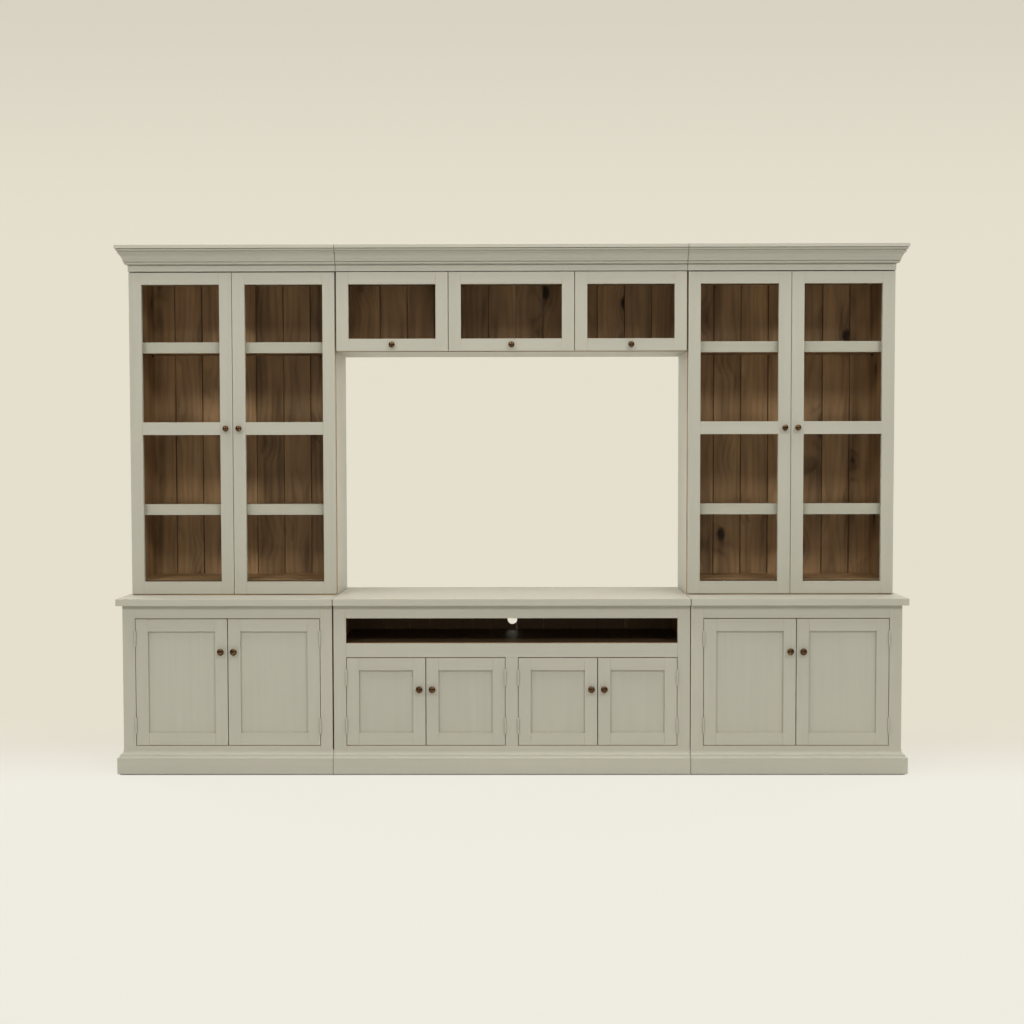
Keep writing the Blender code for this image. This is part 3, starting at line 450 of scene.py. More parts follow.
class Bench:
    """A piece on the bench: boards and mouldings are added to one mesh, each with its own grain."""

    def __init__(self, name, finishes=BOARD_FINISHES):
        deselect()
        bpy.ops.object.add(type="MESH")
        self.piece = bpy.context.object
        self.piece.name = self.piece.data.name = name
        self.sizes = bpy.context.scene.wall_unit_sizes
        self.random = random.Random(name)
        for finish in finishes:
            self.piece.data.materials.append(bpy.data.materials[finish])
        self.piece.data.attributes.new("board", "FLOAT_VECTOR", "CORNER")
        self.piece.data.attributes.new("tone", "FLOAT", "CORNER")
        bpy.ops.object.mode_set(mode="EDIT")
        bpy.ops.mesh.select_mode(type="FACE")

    def shown(self):
        """Return the mesh under edit and its faces that aren't put by."""
        bm = bmesh.from_edit_mesh(self.piece.data)
        return bm, [face for face in bm.faces if not face.hide]

    def choose_edges(self, test):
        """Select the edges that pass a test of their two ends."""
        bm = bmesh.from_edit_mesh(self.piece.data)
        bpy.ops.mesh.select_all(action="DESELECT")
        bpy.ops.mesh.select_mode(type="EDGE")
        for edge in bm.edges:
            if not edge.hide and test(edge.verts[0].co, edge.verts[1].co):
                edge.select_set(True)
        bmesh.update_edit_mesh(self.piece.data)

    def choose_faces(self, test):
        """Select the faces that pass a test of their middle and normal."""
        bm, faces = self.shown()
        bpy.ops.mesh.select_all(action="DESELECT")
        bpy.ops.mesh.select_mode(type="FACE")
        for face in faces:
            if test(face.calc_center_median(), face.normal):
                face.select_set(True)
        bmesh.update_edit_mesh(self.piece.data)

    def cube(self, xs, ys, zs):
        """Add a block at its size and place."""
        low, high = (Vector(corner) for corner in zip(xs, ys, zs))
        bpy.ops.mesh.primitive_cube_add(
            size=1, calc_uvs=False, location=(low + high) / 2, scale=high - low)

    def rod(self, radius, length, place, turn=(0, 0, 0)):
        """Add a round rod about its middle."""
        bpy.ops.mesh.primitive_cylinder_add(
            vertices=ROD_SIDES, radius=radius, depth=length, calc_uvs=False, location=place, rotation=turn)

    def soften(self, ease, segments=2):
        """Round the sharp edges of what is on the bench."""
        bpy.ops.mesh.select_mode(type="EDGE")
        bpy.ops.mesh.select_all(action="DESELECT")
        bpy.ops.mesh.edges_select_sharp(sharpness=math.radians(SHARP_ANGLE))
        bpy.ops.mesh.bevel(offset=ease, segments=segments, profile=0.5, affect="EDGES")

    def dress(self, along, finish=PAINT, bare=(), by_face=None, tone=None, back=False):
        """Lay the grain along a board, give its faces their finishes and put it by."""
        bm, shown = self.shown()
        lay = bm.loops.layers.float_vector["board"]
        tones = bm.loops.layers.float["tone"]
        points = [loop.vert.co for face in shown for loop in face.loops]
        lows, highs = ([pick(p[axis] for p in points) for axis in range(3)] for pick in (min, max))
        middle = [(low + high) / 2 for low, high in zip(lows, highs)]
        start = self.random.uniform(0, GRAIN_RANGE)
        plain = self.random.random()
        tone = plain if tone is None else tone
        for face in shown:
            run = by_face(face) if by_face else along
            order = [run] + sorted({X, Y, Z} - {run}, key=lambda a: lows[a] - highs[a])
            axis = max(range(3), key=lambda a: abs(face.normal[a]))
            flat = abs(face.normal[axis]) > FLAT
            own = STAIN if (axis, int(math.copysign(1, face.normal[axis]))) in bare else finish
            face.material_index = RUBBED if own == PAINT and not flat and not by_face else own
            shade = VEE_TONE if back and not flat else tone
            if back and face.normal.y > FACING:
                shade = plain + ROUGH_TONE
            for loop in face.loops:
                local = [loop.vert.co[a] - middle[a] for a in order]
                loop[lay] = Vector((local[0] + start, local[1], local[2]))
                loop[tones] = shade
        bmesh.update_edit_mesh(self.piece.data)
        bpy.ops.mesh.select_all(action="SELECT")
        bpy.ops.mesh.hide(unselected=False)

    def board(self, xs, ys, zs, along, finish=PAINT, bare=(), ease=None, segments=2, tone=None):
        """Add one eased board. Its bare faces, each an axis and a sign, show stain and no paint."""
        self.cube(xs, ys, zs)
        self.soften(ease or self.sizes.ease, segments)
        self.dress(along, finish, bare, tone=tone)

    def grooved(self, xs, ys, zs, along, inner, groove, depth):
        """Add one board of a glazed frame, with the groove for its glass on one side."""
        self.cube(xs, ys, zs)
        for y in groove:
            bpy.ops.mesh.select_all(action="SELECT")
            bpy.ops.mesh.bisect(plane_co=(0, y, 0), plane_no=(0, 1, 0))
        axis, sign = inner
        middle = sum(groove) / 2
        self.choose_faces(lambda place, normal: normal[axis] * sign > FACING and abs(place.y - middle) < SAME)
        step = [0, 0, 0]
        step[axis] = -sign * depth
        bpy.ops.mesh.extrude_region_move(**move(step))
        self.soften(self.sizes.ease)
        self.dress(along)

    def tongue_boards(self, xs, side, ys, zs, tone=None):
        """Add upright back boards with a vee at each joint, laid towards one side."""
        near, far = sorted(side * x for x in xs)
        joints = []
        distance = near + self.sizes.first_board
        while distance < far - 2 * self.sizes.vee:
            joints.append(side * distance)
            distance += self.sizes.board_pitch
        edges = [xs[0], *sorted(joints), xs[1]]
        for low, high in zip(edges, edges[1:]):
            veed = [x for x in (low, high) if x in joints]
            self.cube((low + TONGUE_GAP, high - TONGUE_GAP), ys, zs)

            def at_joint(a, b):
                front = max(a.y, b.y) < ys[0] + SAME
                return front and any(abs(a.x - x) + abs(b.x - x) < 5 * TONGUE_GAP for x in veed)

            self.choose_edges(at_joint)
            bpy.ops.mesh.bevel(offset=self.sizes.vee, segments=1, affect="EDGES")
            self.soften(BACK_EASE, 1)
            self.dress(Z, STAIN, tone=tone, back=True)

    def moulding(self, profile, start, end, front, side=0):
        """Run a closed (step, height) profile along X, and mitre it back to the wall on one side."""
        bpy.ops.mesh.primitive_circle_add(vertices=len(profile), fill_type="NGON", calc_uvs=False)
        bm, faces = self.shown()
        for vert, (step, height) in zip(faces[0].verts, profile):
            vert.co = (start, front - step, height)
        bmesh.update_edit_mesh(self.piece.data)
        bpy.ops.mesh.extrude_region_move(**move((end - start + side * MITRE_SPARE, 0, 0)))
        if side:
            bpy.ops.mesh.select_all(action="SELECT")
            bpy.ops.mesh.bisect(plane_co=(end, front, 0), plane_no=(side, 1, 0), clear_outer=True)
            bpy.ops.mesh.edge_face_add()
            bpy.ops.mesh.extrude_region_move(**move((0, WALL_SPARE, 0)))
            bpy.ops.transform.resize(value=(1, 0, 1), center_override=(0, BACK_Y, 0))
        bpy.ops.mesh.select_all(action="SELECT")
        bpy.ops.mesh.normals_make_consistent(inside=False)

        def along(face):
            middle = face.calc_center_median()
            level = middle.x == end     # the end of the frieze keeps its grain along X
            return Y if side and not level and side * (middle.x - end) + (middle.y - front) > 0 else X

        self.dress(X, by_face=along)

    def done(self, *nodes, body="cabinet", slot="sage_paint", smooth=None):
        """Take the piece off the bench and hang it on its body, in place of its nodes."""
        bpy.ops.mesh.reveal(select=False)
        bpy.ops.object.mode_set(mode="OBJECT")
        if smooth:
            bpy.ops.object.shade_smooth_by_angle(angle=math.radians(smooth))
        return hand_in(self.piece, body, slot, *nodes)


def hand_in(piece, body, slot, *nodes):
    """Hang a finished piece on its body, in place of its nodes."""
    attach(piece, body)
    if nodes:
        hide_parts(*nodes)
    return piece


class UnitOperator:
    """What every step of the build has in common"""

    bl_options = {"REGISTER"}

    def execute(self, context):
        self.build(context.scene.wall_unit_sizes, context.scene.wall_unit_colours)
        return {"FINISHED"}


class WALLUNIT_OT_finishes(UnitOperator, bpy.types.Operator):
    """Make the paint, stain, bronze and glass, and glaze the panes"""

    bl_idname = "wall_unit.finishes"
    bl_label = "Finishes and panes"

    def build(self, sizes, colours):
        for make in (make_paint, make_rubbed, make_stain, make_bronze):
            make(colours)
        glass = make_glass(colours)
        for name, node in frame["nodes"].items():
            if name.endswith("_glass"):
                node.data.materials.clear()
                node.data.materials.append(glass)


def base_sides(bench, xs, inner_xs, meets):
    """Add the sides and stiles of a base cabinet. Ends that meet a neighbour are planed and bare."""
    stile = bench.sizes.frame_stile
    low, high = xs[0] + meets.get(-1, 0), xs[1] - meets.get(1, 0)
    side_ys, whole = (FRAME_BACK, BACK_Y), (0, BASE_TOP)
    bench.board((low, inner_xs[0]), side_ys, whole, Z, bare=[(X, 1)])
    bench.board((inner_xs[1], high), side_ys, whole, Z, bare=[(X, -1)])
    for end, stile_xs in ((-1, (low, xs[0] + stile)), (1, (xs[1] - stile, high))):
        bare = [(X, -end), (Y, 1)] + [(X, end)] * (end in meets)
        bench.board(stile_xs, FRAME_YS, whole, Z, bare=bare)


class WALLUNIT_OT_wing_bases(UnitOperator, bpy.types.Operator):
    """Build the face frames, sides and linings of the two wing cabinets"""

    bl_idname = "wall_unit.wing_bases"
    bl_label = "Wing cabinets"

    def build(self, sizes, colours):
        opening_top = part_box("base_right_door_r")[1].z + sizes.door_gap
        shelf_zs = (CUPBOARD[Z][1], hollow("right_cupboard_upper")[Z][0])
        lining = (
            (INSIDE_YS, (SILL - BOARD, SILL)),
            ((FRAME_BACK + sizes.shelf_setback, INNER_BACK), shelf_zs),
            ((INNER_BACK - sizes.stretcher, INNER_BACK), (BASE_TOP - BOARD, BASE_TOP)),
        )
        for word, side in WINGS.items():
            xs = span(side, NEAR_X, OUTER_X)
            inner = span(side, INNER_NEAR, INNER_FAR)
            rail = (xs[0] + sizes.frame_stile, xs[1] - sizes.frame_stile)
            bench = Bench(f"{word}_wing_carcass")
            base_sides(bench, xs, inner, {-side: WING_TRIM if word == "left" else 0})
            bench.board(rail, FRAME_YS, (0, SILL), X, bare=[(Z, 1), (Y, 1)])
            bench.board(rail, FRAME_YS, (opening_top, BASE_TOP), X, bare=[(Z, -1), (Y, 1)])
            bench.done(f"base_{word}_carcass")
            bench = Bench(f"{word}_wing_lining")
            for ys, zs in lining:
                bench.board(inner, ys, zs, X, STAIN)
            bench.tongue_boards(inner, side, (INNER_BACK, BACK_Y), (SILL - BOARD, BASE_TOP))
            bench.done(slot="stained_pine")


class WALLUNIT_OT_centre_base(UnitOperator, bpy.types.Operator):
    """Build the centre cabinet with its media slot, divider and drilled back"""

    bl_idname = "wall_unit.centre_base"
    bl_label = "Centre cabinet"

    def build(self, sizes, colours):
        low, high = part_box("base_centre_carcass")
        door_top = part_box("base_centre_door_1")[1].z + sizes.door_gap
        slot_zs = hollow("media_slot_mouth")[Z]
        cupboard = hollow("centre_cupboard_right")
        divider, inner_x = cupboard[X]
        ceiling = cupboard[Z][1]
        inner = (-inner_x, inner_x)
        board = high.x - inner_x
        rail = (low.x + sizes.frame_stile, high.x - sizes.frame_stile)
        half = sizes.frame_stile / 2
        bench = Bench("centre_carcass")
        base_sides(bench, (low.x, high.x), inner, {-1: 0, 1: 0})
        for zs in ((0, SILL), (door_top, slot_zs[0]), (slot_zs[1], BASE_TOP)):
            bench.board(rail, FRAME_YS, zs, X, bare=[(Z, 1), (Z, -1), (Y, 1)])
        bench.board((-half, half), FRAME_YS, (SILL, door_top), Z, bare=[(X, 1), (X, -1), (Y, 1)])
        bench.done("base_centre_carcass")
        bench = Bench("centre_lining")
        bench.board(inner, INSIDE_YS, (SILL - board, SILL), X, STAIN)
        # painted shade: the slot floor is toned dark for the shade inside the slot
        bench.board(inner, INSIDE_YS, (ceiling, slot_zs[0]), X, STAIN, tone=PAINTED_SHADE_TONE)
        bench.board((-divider, divider), INSIDE_YS, (SILL, ceiling), Z, STAIN)
        stretcher_ys = (INNER_BACK - sizes.stretcher, INNER_BACK)
        bench.board(inner, stretcher_ys, (BASE_TOP - board, BASE_TOP), X, STAIN)
        bench.done(slot="stained_pine")
        bench = Bench("centre_back")
        back_ys = (INNER_BACK + SEAT, BACK_Y)
        # painted shade: the inner faces of this back take the dark tone of the shaded slot and cupboards
        bench.tongue_boards(inner, 1, back_ys, (SILL - board, BASE_TOP), PAINTED_SHADE_TONE)
        back = bench.done("base_centre_back", slot="stained_pine")
        drill(back, hollow("cable_hole"))


def drill(back, hole):
    """Drill the cable hole through a back."""
    deselect()
    bpy.ops.mesh.primitive_cylinder_add(
        vertices=HOLE_SIDES, radius=(hole[X][1] - hole[X][0]) / 2, depth=DRILL_DEPTH,
        location=[sum(limits) / 2 for limits in hole], rotation=(math.pi / 2, 0, 0))
    bit = bpy.context.object
    bpy.ops.object.transform_apply(location=True, rotation=True, scale=True)
    deselect()
    bpy.context.view_layer.objects.active = back
    back.select_set(True)
    bpy.ops.object.modifier_add(type="BOOLEAN")
    cut = back.modifiers[-1]
    cut.operation = "DIFFERENCE"
    cut.object = bit
    bpy.ops.object.modifier_apply(modifier=cut.name)
    bpy.data.objects.remove(bit)


class WALLUNIT_OT_worktops(UnitOperator, bpy.types.Operator):
    """Build the three worktops with rounded edges"""

    bl_idname = "wall_unit.worktops"
    bl_label = "Worktops"

    def build(self, sizes, colours):
        for word, side in THIRDS.items():
            low, high = in_row(f"base_{word}_worktop", side, WORKTOP_REVEAL)
            bench = Bench(f"{word}_worktop")
            bench.board(*zip(low, high), X, ease=sizes.worktop_ease, segments=3)
            bench.done(f"base_{word}_worktop")


def quarter(start, end, hollow_curve, steps=10):
    """Return a quarter curve between two profile points, hollow or swelling."""
    (step_a, height_a), (step_b, height_b) = start, end
    points = []
    for index in range(steps + 1):
        angle = math.pi / 2 * index / steps
        across, along = math.sin(angle), 1 - math.cos(angle)
        if hollow_curve:
            across, along = along, across
        points.append((step_a + (step_b - step_a) * across, height_a + (height_b - height_a) * along))
    return points


class WALLUNIT_OT_plinths(UnitOperator, bpy.types.Operator):
    """Run the moulded plinths round the foot of the cabinets"""

    bl_idname = "wall_unit.plinths"
    bl_label = "Plinths"

    def build(self, sizes, colours):
        low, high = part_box("base_centre_plinth")
        proud, front = high.y - low.y, low.y
        strip_ys = [front + y for y in STRIP_YS]
        strip_zs = (0, PLINTH_FOOT - SEAT)
        for word, side in THIRDS.items():
            low, high = in_row(f"base_{word}_plinth", side, REVEAL)
            start, end = (high.x, low.x) if side < 0 else (low.x, high.x)
            stop = end - side * STRIP_INSET
            bench = Bench(f"{word}_plinth")
            bench.moulding(self.profile(high.z, proud), start, end - side * proud, FACE_Y - SEAT, side)
            # painted shade: the strip under the plinth is toned dark for the shade in the gap
            bench.board(sorted((start, stop)), strip_ys, strip_zs, X, STAIN, tone=DUST_AND_SHADE_TONE)
            if side:
                turn_xs = sorted((stop, end - side * 2 * STRIP_INSET))
                turn_ys = (front + STRIP_TURN, BACK_Y)
                bench.board(turn_xs, turn_ys, strip_zs, Y, STAIN, tone=DUST_AND_SHADE_TONE)
            bench.done(f"base_{word}_plinth", smooth=MOULDING_ANGLE)

    def profile(self, top, proud):
        """Return the closed section: a flat face, two coves with a fillet between them, and a lip."""
        foot = PLINTH_FOOT
        face, fillet, upper, lip = top - 0.0315, top - 0.0230, top - 0.0200, top - 0.0035
        outline = [(0, foot), (proud - 0.001, foot), (proud, foot + 0.001), (proud, face)]
        outline += quarter((proud - 0.0006, face + 0.0006), (0.0126, fillet), False)
        outline += [(0.0126, upper - 0.0006), (0.0120, upper)]
        outline += quarter((0.0114, upper), (0.0010, lip), False)
        return outline + [(0.0010, top), (0, top)]


def inset_doors(sizes):
    """Return (name, X range, Z range, hinge side) of each inset door."""
    doors = []
    for name, axis in HINGES.items():
        if name.startswith("base_"):
            low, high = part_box(name)
            hand = -1 if axis.x < (low.x + high.x) / 2 else 1
            hung = axis.x - hand * sizes.door_gap / 2
            xs = (hung, high.x - TRIM) if hand < 0 else (low.x + TRIM, hung)
            doors.append((name, xs, (low.z, high.z - TRIM), hand))
    return doors


class WALLUNIT_OT_base_doors(UnitOperator, bpy.types.Operator):
    """Build the eight inset framed doors"""

    bl_idname = "wall_unit.base_doors"
    bl_label = "Inset doors"

    def build(self, sizes, colours):
        stile = sizes.door_stile
        ys = (FACE_Y, FACE_Y + sizes.door_thickness)
        panel = FACE_Y + sizes.panel_recess
        panel_ys = (panel, panel + sizes.panel_thickness)
        top = [(Z, 1)]
        for name, xs, zs, hand in inset_doors(sizes):
            inner_xs = (xs[0] + stile, xs[1] - stile)
            inner_zs = (zs[0] + stile, zs[1] - stile)
            bench = Bench(f"{name}_boards")
            bench.board((xs[0], inner_xs[0]), ys, zs, Z, bare=top)
            bench.board((inner_xs[1], xs[1]), ys, zs, Z, bare=top)
            bench.board(inner_xs, ys, (zs[0], inner_zs[0]), X)
            bench.board(inner_xs, ys, (inner_zs[1], zs[1]), X, bare=top)
            bench.board(inner_xs, panel_ys, inner_zs, Z, ease=PANEL_EASE)
            bench.done(name, body=name)


class WALLUNIT_OT_butt_hinges(UnitOperator, bpy.types.Operator):
    """Build the five-knuckle butt hinges of the inset doors"""

    bl_idname = "wall_unit.butt_hinges"
    bl_label = "Butt hinges"

    def build(self, sizes, colours):
        doors = inset_doors(sizes)
        fixed = Bench("frame_hinges")
        for name, xs, zs, hand in doors:
            self.halves(fixed, name, zs, hand, 0)
        fixed.done(smooth=HINGE_ANGLE)
        for name, xs, zs, hand in doors:
            moving = Bench(f"{name}_hinges")
            self.halves(moving, name, zs, -hand, 1)
            moving.done(body=name, smooth=HINGE_ANGLE)

    def halves(self, bench, name, zs, toward, first):
        """Add the knuckles and leaf of one half of both hinges of a door."""
        axis, sizes = HINGES[name], bench.sizes
        length, inset, radius = sizes.hinge_length, sizes.hinge_inset, sizes.hinge_radius
        pitch = length / KNUCKLES
        leaf_xs = sorted(axis.x + toward * x for x in LEAF_XS)
        leaf_ys = (axis.y + radius, FACE_Y + LEAF_BACK)
        for foot in (zs[0] + inset, zs[1] - inset - length):
            for index in range(first, KNUCKLES, 2):
                bench.rod(radius, pitch - SEAT, (axis.x, axis.y, foot + (index + 0.5) * pitch))
                bench.soften(KNUCKLE_EASE)
                bench.dress(Z, by_face=lambda face: Z)
            bench.board(leaf_xs, leaf_ys, (foot, foot + length), Z, ease=LEAF_EASE)


class WALLUNIT_OT_knobs(UnitOperator, bpy.types.Operator):
    """Turn one knob of each size and set a copy on every door and flap"""

    bl_idname = "wall_unit.knobs"
    bl_label = "Knobs"

    def build(self, sizes, colours):
        names = [name for name in frame["nodes"] if name.endswith("_knob")]
        base, upper = self.turn("base_centre_door_1_knob"), self.turn("bridge_flap_left_knob")
        for name in names:
            low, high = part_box(name)
            pattern = base if name.startswith("base_") else upper
            deselect()
            pattern.select_set(True)
            bpy.context.view_layer.objects.active = pattern
            bpy.ops.object.duplicate(linked=False)
            knob = bpy.context.object
            knob.name = knob.data.name = f"{name}_turned"
            knob.location = ((low.x + high.x) / 2, high.y, (low.z + high.z) / 2)
            bpy.ops.object.transform_apply(location=True, rotation=True, scale=True)
            hand_in(knob, name.removesuffix("_knob"), "aged_bronze", name)
        for pattern in (base, upper):
            bpy.data.objects.remove(pattern)

    def profile(self, radius, length):
        """Return (radius, height) points from the foot over the waisted neck to the domed head."""
        neck, foot = KNOB_NECK[-1]
        crown = (length - foot) * KNOB_CROWN
        rings, dome = KNOB_STEPS
        points = list(KNOB_NECK)
        for step in range(1, rings + 1):
            angle = math.pi / 2 * step / rings
            points.append((neck + (radius - neck) * math.sin(angle), foot + crown * (1 - math.cos(angle))))
        for step in range(1, dome):
            angle = math.pi / 2 * step / dome
            height = foot + crown + (length - foot - crown) * math.sin(angle)
            points.append((radius * math.cos(angle), height))
        return points

    def turn(self, name):
        """Turn a knob at the origin, pointing at -Y."""
        low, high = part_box(name)
        length = high.y - low.y
        points = self.profile((high.x - low.x) / 2, length)
        deselect()
        bpy.ops.mesh.primitive_circle_add(
            vertices=KNOB_SIDES, radius=points[0][0], fill_type="NGON", calc_uvs=False,
            rotation=(math.pi / 2, 0, 0))
        knob = bpy.context.object
        bpy.ops.object.transform_apply(location=True, rotation=True, scale=True)
        bpy.ops.object.mode_set(mode="EDIT")
        bpy.ops.mesh.select_all(action="SELECT")
        for (last_radius, last), (radius, height) in zip(points, points[1:]):
            bpy.ops.mesh.extrude_region_move(**move((0, last - height, 0)))
            share = radius / last_radius
            bpy.ops.transform.resize(value=(share, 1, share), center_override=(0, -height, 0))
        bpy.ops.mesh.extrude_region_move(**move((0, points[-1][1] - length, 0)))
        bpy.ops.mesh.merge(type="CENTER")
        bpy.ops.mesh.select_all(action="SELECT")
        bpy.ops.mesh.normals_make_consistent(inside=False)
        bpy.ops.object.mode_set(mode="OBJECT")
        bpy.ops.object.shade_smooth_by_angle(angle=math.radians(TURNED_ANGLE))
        knob.data.materials.append(bpy.data.materials["turned_bronze"])
        return knob


class WALLUNIT_OT_hutches(UnitOperator, bpy.types.Operator):
    """Build the hutch carcasses, their floors, fixed shelves and boarded backs"""

    bl_idname = "wall_unit.hutches"
    bl_label = "Hutches"

    def build(self, sizes, colours):
        front, foot, top = HUTCH_LOW.y, HUTCH_LOW.z, HUTCH_HIGH.z
        lipping, seam = front + LIPPING, front + LIPPING + FLOOR_BOARD
        floor = hollow("right_hutch_bay_1")[Z][0]
        floor_zs = (floor - BOARD, floor)
        bar = knob_height("hutch_right_door_l")
        shelf_ys = (front, INNER_BACK)
        for word, side in WINGS.items():
            inner = span(side, INNER_NEAR, INNER_FAR)
            sole = span(side, NEAR_X + SOLE_INSET, OUTER_X - SOLE_INSET)
            bench = Bench(f"{word}_hutch_carcass")
            for near, far, way in ((NEAR_X, INNER_NEAR, side), (INNER_FAR, OUTER_X, -side)):
                bench.board(span(side, near, far), (front, BACK_Y), (foot, top), Z, bare=[(X, way), (Y, -1)])
            bench.done(f"hutch_{word}_carcass")
            bench = Bench(f"{word}_hutch_lining")
            lining = (
                (inner, shelf_ys, (top - BOARD, top), None),
                # painted light: the back board of the floor is toned light where shade falls on it
                (inner, (seam, INNER_BACK), floor_zs, FLOOR_LIGHT_TONES[1]),
                (inner, shelf_ys, (bar - BOARD / 2, bar + BOARD / 2), None),
                (inner, (front, front + BOARD), (foot, floor_zs[0]), None),
                (sole, (front - SOLE_DEPTH, front - SEAT), (foot, foot + SOLE_HEIGHT), SOLE_TONE),
                # painted shade: the lipping is toned dark for the shade behind the door rail
                (inner, (front, lipping), floor_zs, PAINTED_SHADE_TONE),
                # painted shade: the front board of the floor is toned darker where the light falls on it
                (inner, (lipping, seam), floor_zs, FLOOR_LIGHT_TONES[0]),
            )
            for xs, ys, zs, tone in lining:
                bench.board(xs, ys, zs, X, STAIN, tone=tone)
            bench.done(slot="stained_pine")
            bench = Bench(f"{word}_hutch_back")
            bench.tongue_boards(inner, side, (INNER_BACK, BACK_Y), (foot, top))
            bench.done(f"hutch_{word}_back", slot="stained_pine")


class WALLUNIT_OT_shelves(UnitOperator, bpy.types.Operator):
    """Build the loose shelves with their painted lips, on their pegs"""

    bl_idname = "wall_unit.shelves"
    bl_label = "Loose shelves"

    def build(self, sizes, colours):
        for word, side in WINGS.items():
            for level in ("upper", "lower"):
                low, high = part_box(f"hutch_{word}_shelf_{level}")
                xs, lip = (low.x, high.x), low.y + SHELF_LIP
                shelf_zs = (high.z - SHELF_FOOT, high.z - SHELF_DROP)
                bench = Bench(f"{word}_shelf_{level}")
                bench.board(xs, (low.y, lip), (low.z, high.z), X, bare=[(Y, 1), (Z, -1)], ease=LIP_EASE)
                bench.board(xs, (lip, high.y), shelf_zs, X, STAIN)
                bench.done(f"hutch_{word}_shelf_{level}")
            self.pegs(word, side)

    def pegs(self, word, side):
        """Make two pegs under the lower shelf, and copy them to its back and to the upper shelf."""
        low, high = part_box(f"hutch_{word}_shelf_lower")
        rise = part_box(f"hutch_{word}_shelf_upper")[1].z - high.z
        lip = low.y + SHELF_LIP
        height = high.z - SHELF_FOOT - SEAT - PEG_RADIUS
        bench = Bench(f"{word}_hutch_pegs", ["turned_bronze"])
        for wall, way in ((INNER_NEAR, side), (INNER_FAR, -side)):
            place = (side * wall + way * PEG_LENGTH / 2, lip + PEG_INSET, height)
            bench.rod(PEG_RADIUS, PEG_LENGTH, place, (0, math.pi / 2, 0))
        bench.soften(PEG_EASE, 3)
        for step in ((0, INNER_BACK - lip - 2 * PEG_INSET, 0), (0, 0, rise)):
            bpy.ops.mesh.select_all(action="SELECT")
            bpy.ops.mesh.duplicate_move(**move(step))
        bench.done(slot="aged_bronze", smooth=TURNED_ANGLE)


def glazed_frame(bench, name, trims, bar=None):
    """Add the grooved stiles and rails of a frame, trimmed at left, right and top, and its bar."""
    sizes = bench.sizes
    low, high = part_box(name)
    pane_low, pane_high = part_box(f"{name}_glass")
    ys = (low.y, low.y + sizes.door_thickness)
    groove = (pane_low.y - SEAT, pane_high.y + SEAT)
    inner_xs = (low.x + sizes.glazed_stile, high.x - sizes.glazed_stile)
    inner_zs = (low.z + sizes.glazed_rail, high.z - sizes.glazed_rail)
    depth = inner_xs[0] - pane_low.x + SEAT
    left, right, top = trims
    low.x, high.x, high.z = low.x + left, high.x - right, high.z - top
    whole = (low.z, high.z)
    bench.grooved((low.x, inner_xs[0]), ys, whole, Z, (X, 1), groove, depth)
    bench.grooved((inner_xs[1], high.x), ys, whole, Z, (X, -1), groove, depth)
    bench.grooved(inner_xs, ys, (low.z, inner_zs[0]), X, (Z, 1), groove, depth)
    bench.grooved(inner_xs, ys, (inner_zs[1], high.z), X, (Z, -1), groove, depth)
    if bar:
        half = sizes.bar_height / 2
        bench.board(inner_xs, (low.y, groove[0]), (bar - half, bar + half), X)
    bench.done(name, body=name)


class WALLUNIT_OT_hutch_doors(UnitOperator, bpy.types.Operator):
    """Build the four glazed hutch doors"""

    bl_idname = "wall_unit.hutch_doors"
    bl_label = "Glazed doors"

    def build(self, sizes, colours):
        for word in WINGS:
            for hand in ("l", "r"):
                name = f"hutch_{word}_door_{hand}"
                trims = [END_TRIM * (name == inner) for inner in ("hutch_right_door_l", "hutch_left_door_r")]
                glazed_frame(Bench(f"{name}_boards"), name, (*trims, END_TRIM), knob_height(name))


class WALLUNIT_OT_bridge(UnitOperator, bpy.types.Operator):
    """Build the carcass of the bridge, its dividers and boarded back"""

    bl_idname = "wall_unit.bridge"
    bl_label = "Bridge"

    def build(self, sizes, colours):
        low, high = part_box("bridge_carcass")
        bay_xs = hollow("bridge_bay_centre")[X]
        divider, inner_x = hollow("bridge_bay_right")[X]
        inner = (-inner_x, inner_x)
        board = high.x - inner_x
        floor, ceiling = low.z + board, high.z - board
        ys, bay_ys, whole = (low.y, BACK_Y), (low.y, INNER_BACK), (low.z, high.z)
        bench = Bench("bridge_carcass_boards")
        for xs in ((low.x + END_TRIM, inner[0]), (inner[1], high.x - END_TRIM)):
            bench.board(xs, ys, whole, Z, bare=[(X, 1), (X, -1), (Y, -1)])
        bench.board(inner, ys, (low.z, floor), X, bare=[(Z, 1), (Y, -1)])
        bench.done("bridge_carcass")
        bench = Bench("bridge_lining")
        bench.board(inner, bay_ys, (ceiling, high.z), X, STAIN)
        for xs in ((divider, bay_xs[1]), (bay_xs[0], -divider)):
            bench.board(sorted(xs), bay_ys, (floor, ceiling), Z, STAIN)
        bench.done(slot="stained_pine")
        bench = Bench("bridge_back_boards")
        bench.tongue_boards(inner, 1, (INNER_BACK, BACK_Y), (floor, high.z))
        bench.done("bridge_back", slot="stained_pine")


class WALLUNIT_OT_flaps(UnitOperator, bpy.types.Operator):
    """Build the three glazed flaps of the bridge"""

    bl_idname = "wall_unit.flaps"
    bl_label = "Glazed flaps"

    def build(self, sizes, colours):
        for word in THIRDS:
            name = f"bridge_flap_{word}"
            trims = [END_TRIM if word == end else FLAP_TRIM for end in WINGS]
            glazed_frame(Bench(f"{name}_boards"), name, (*trims, 0))


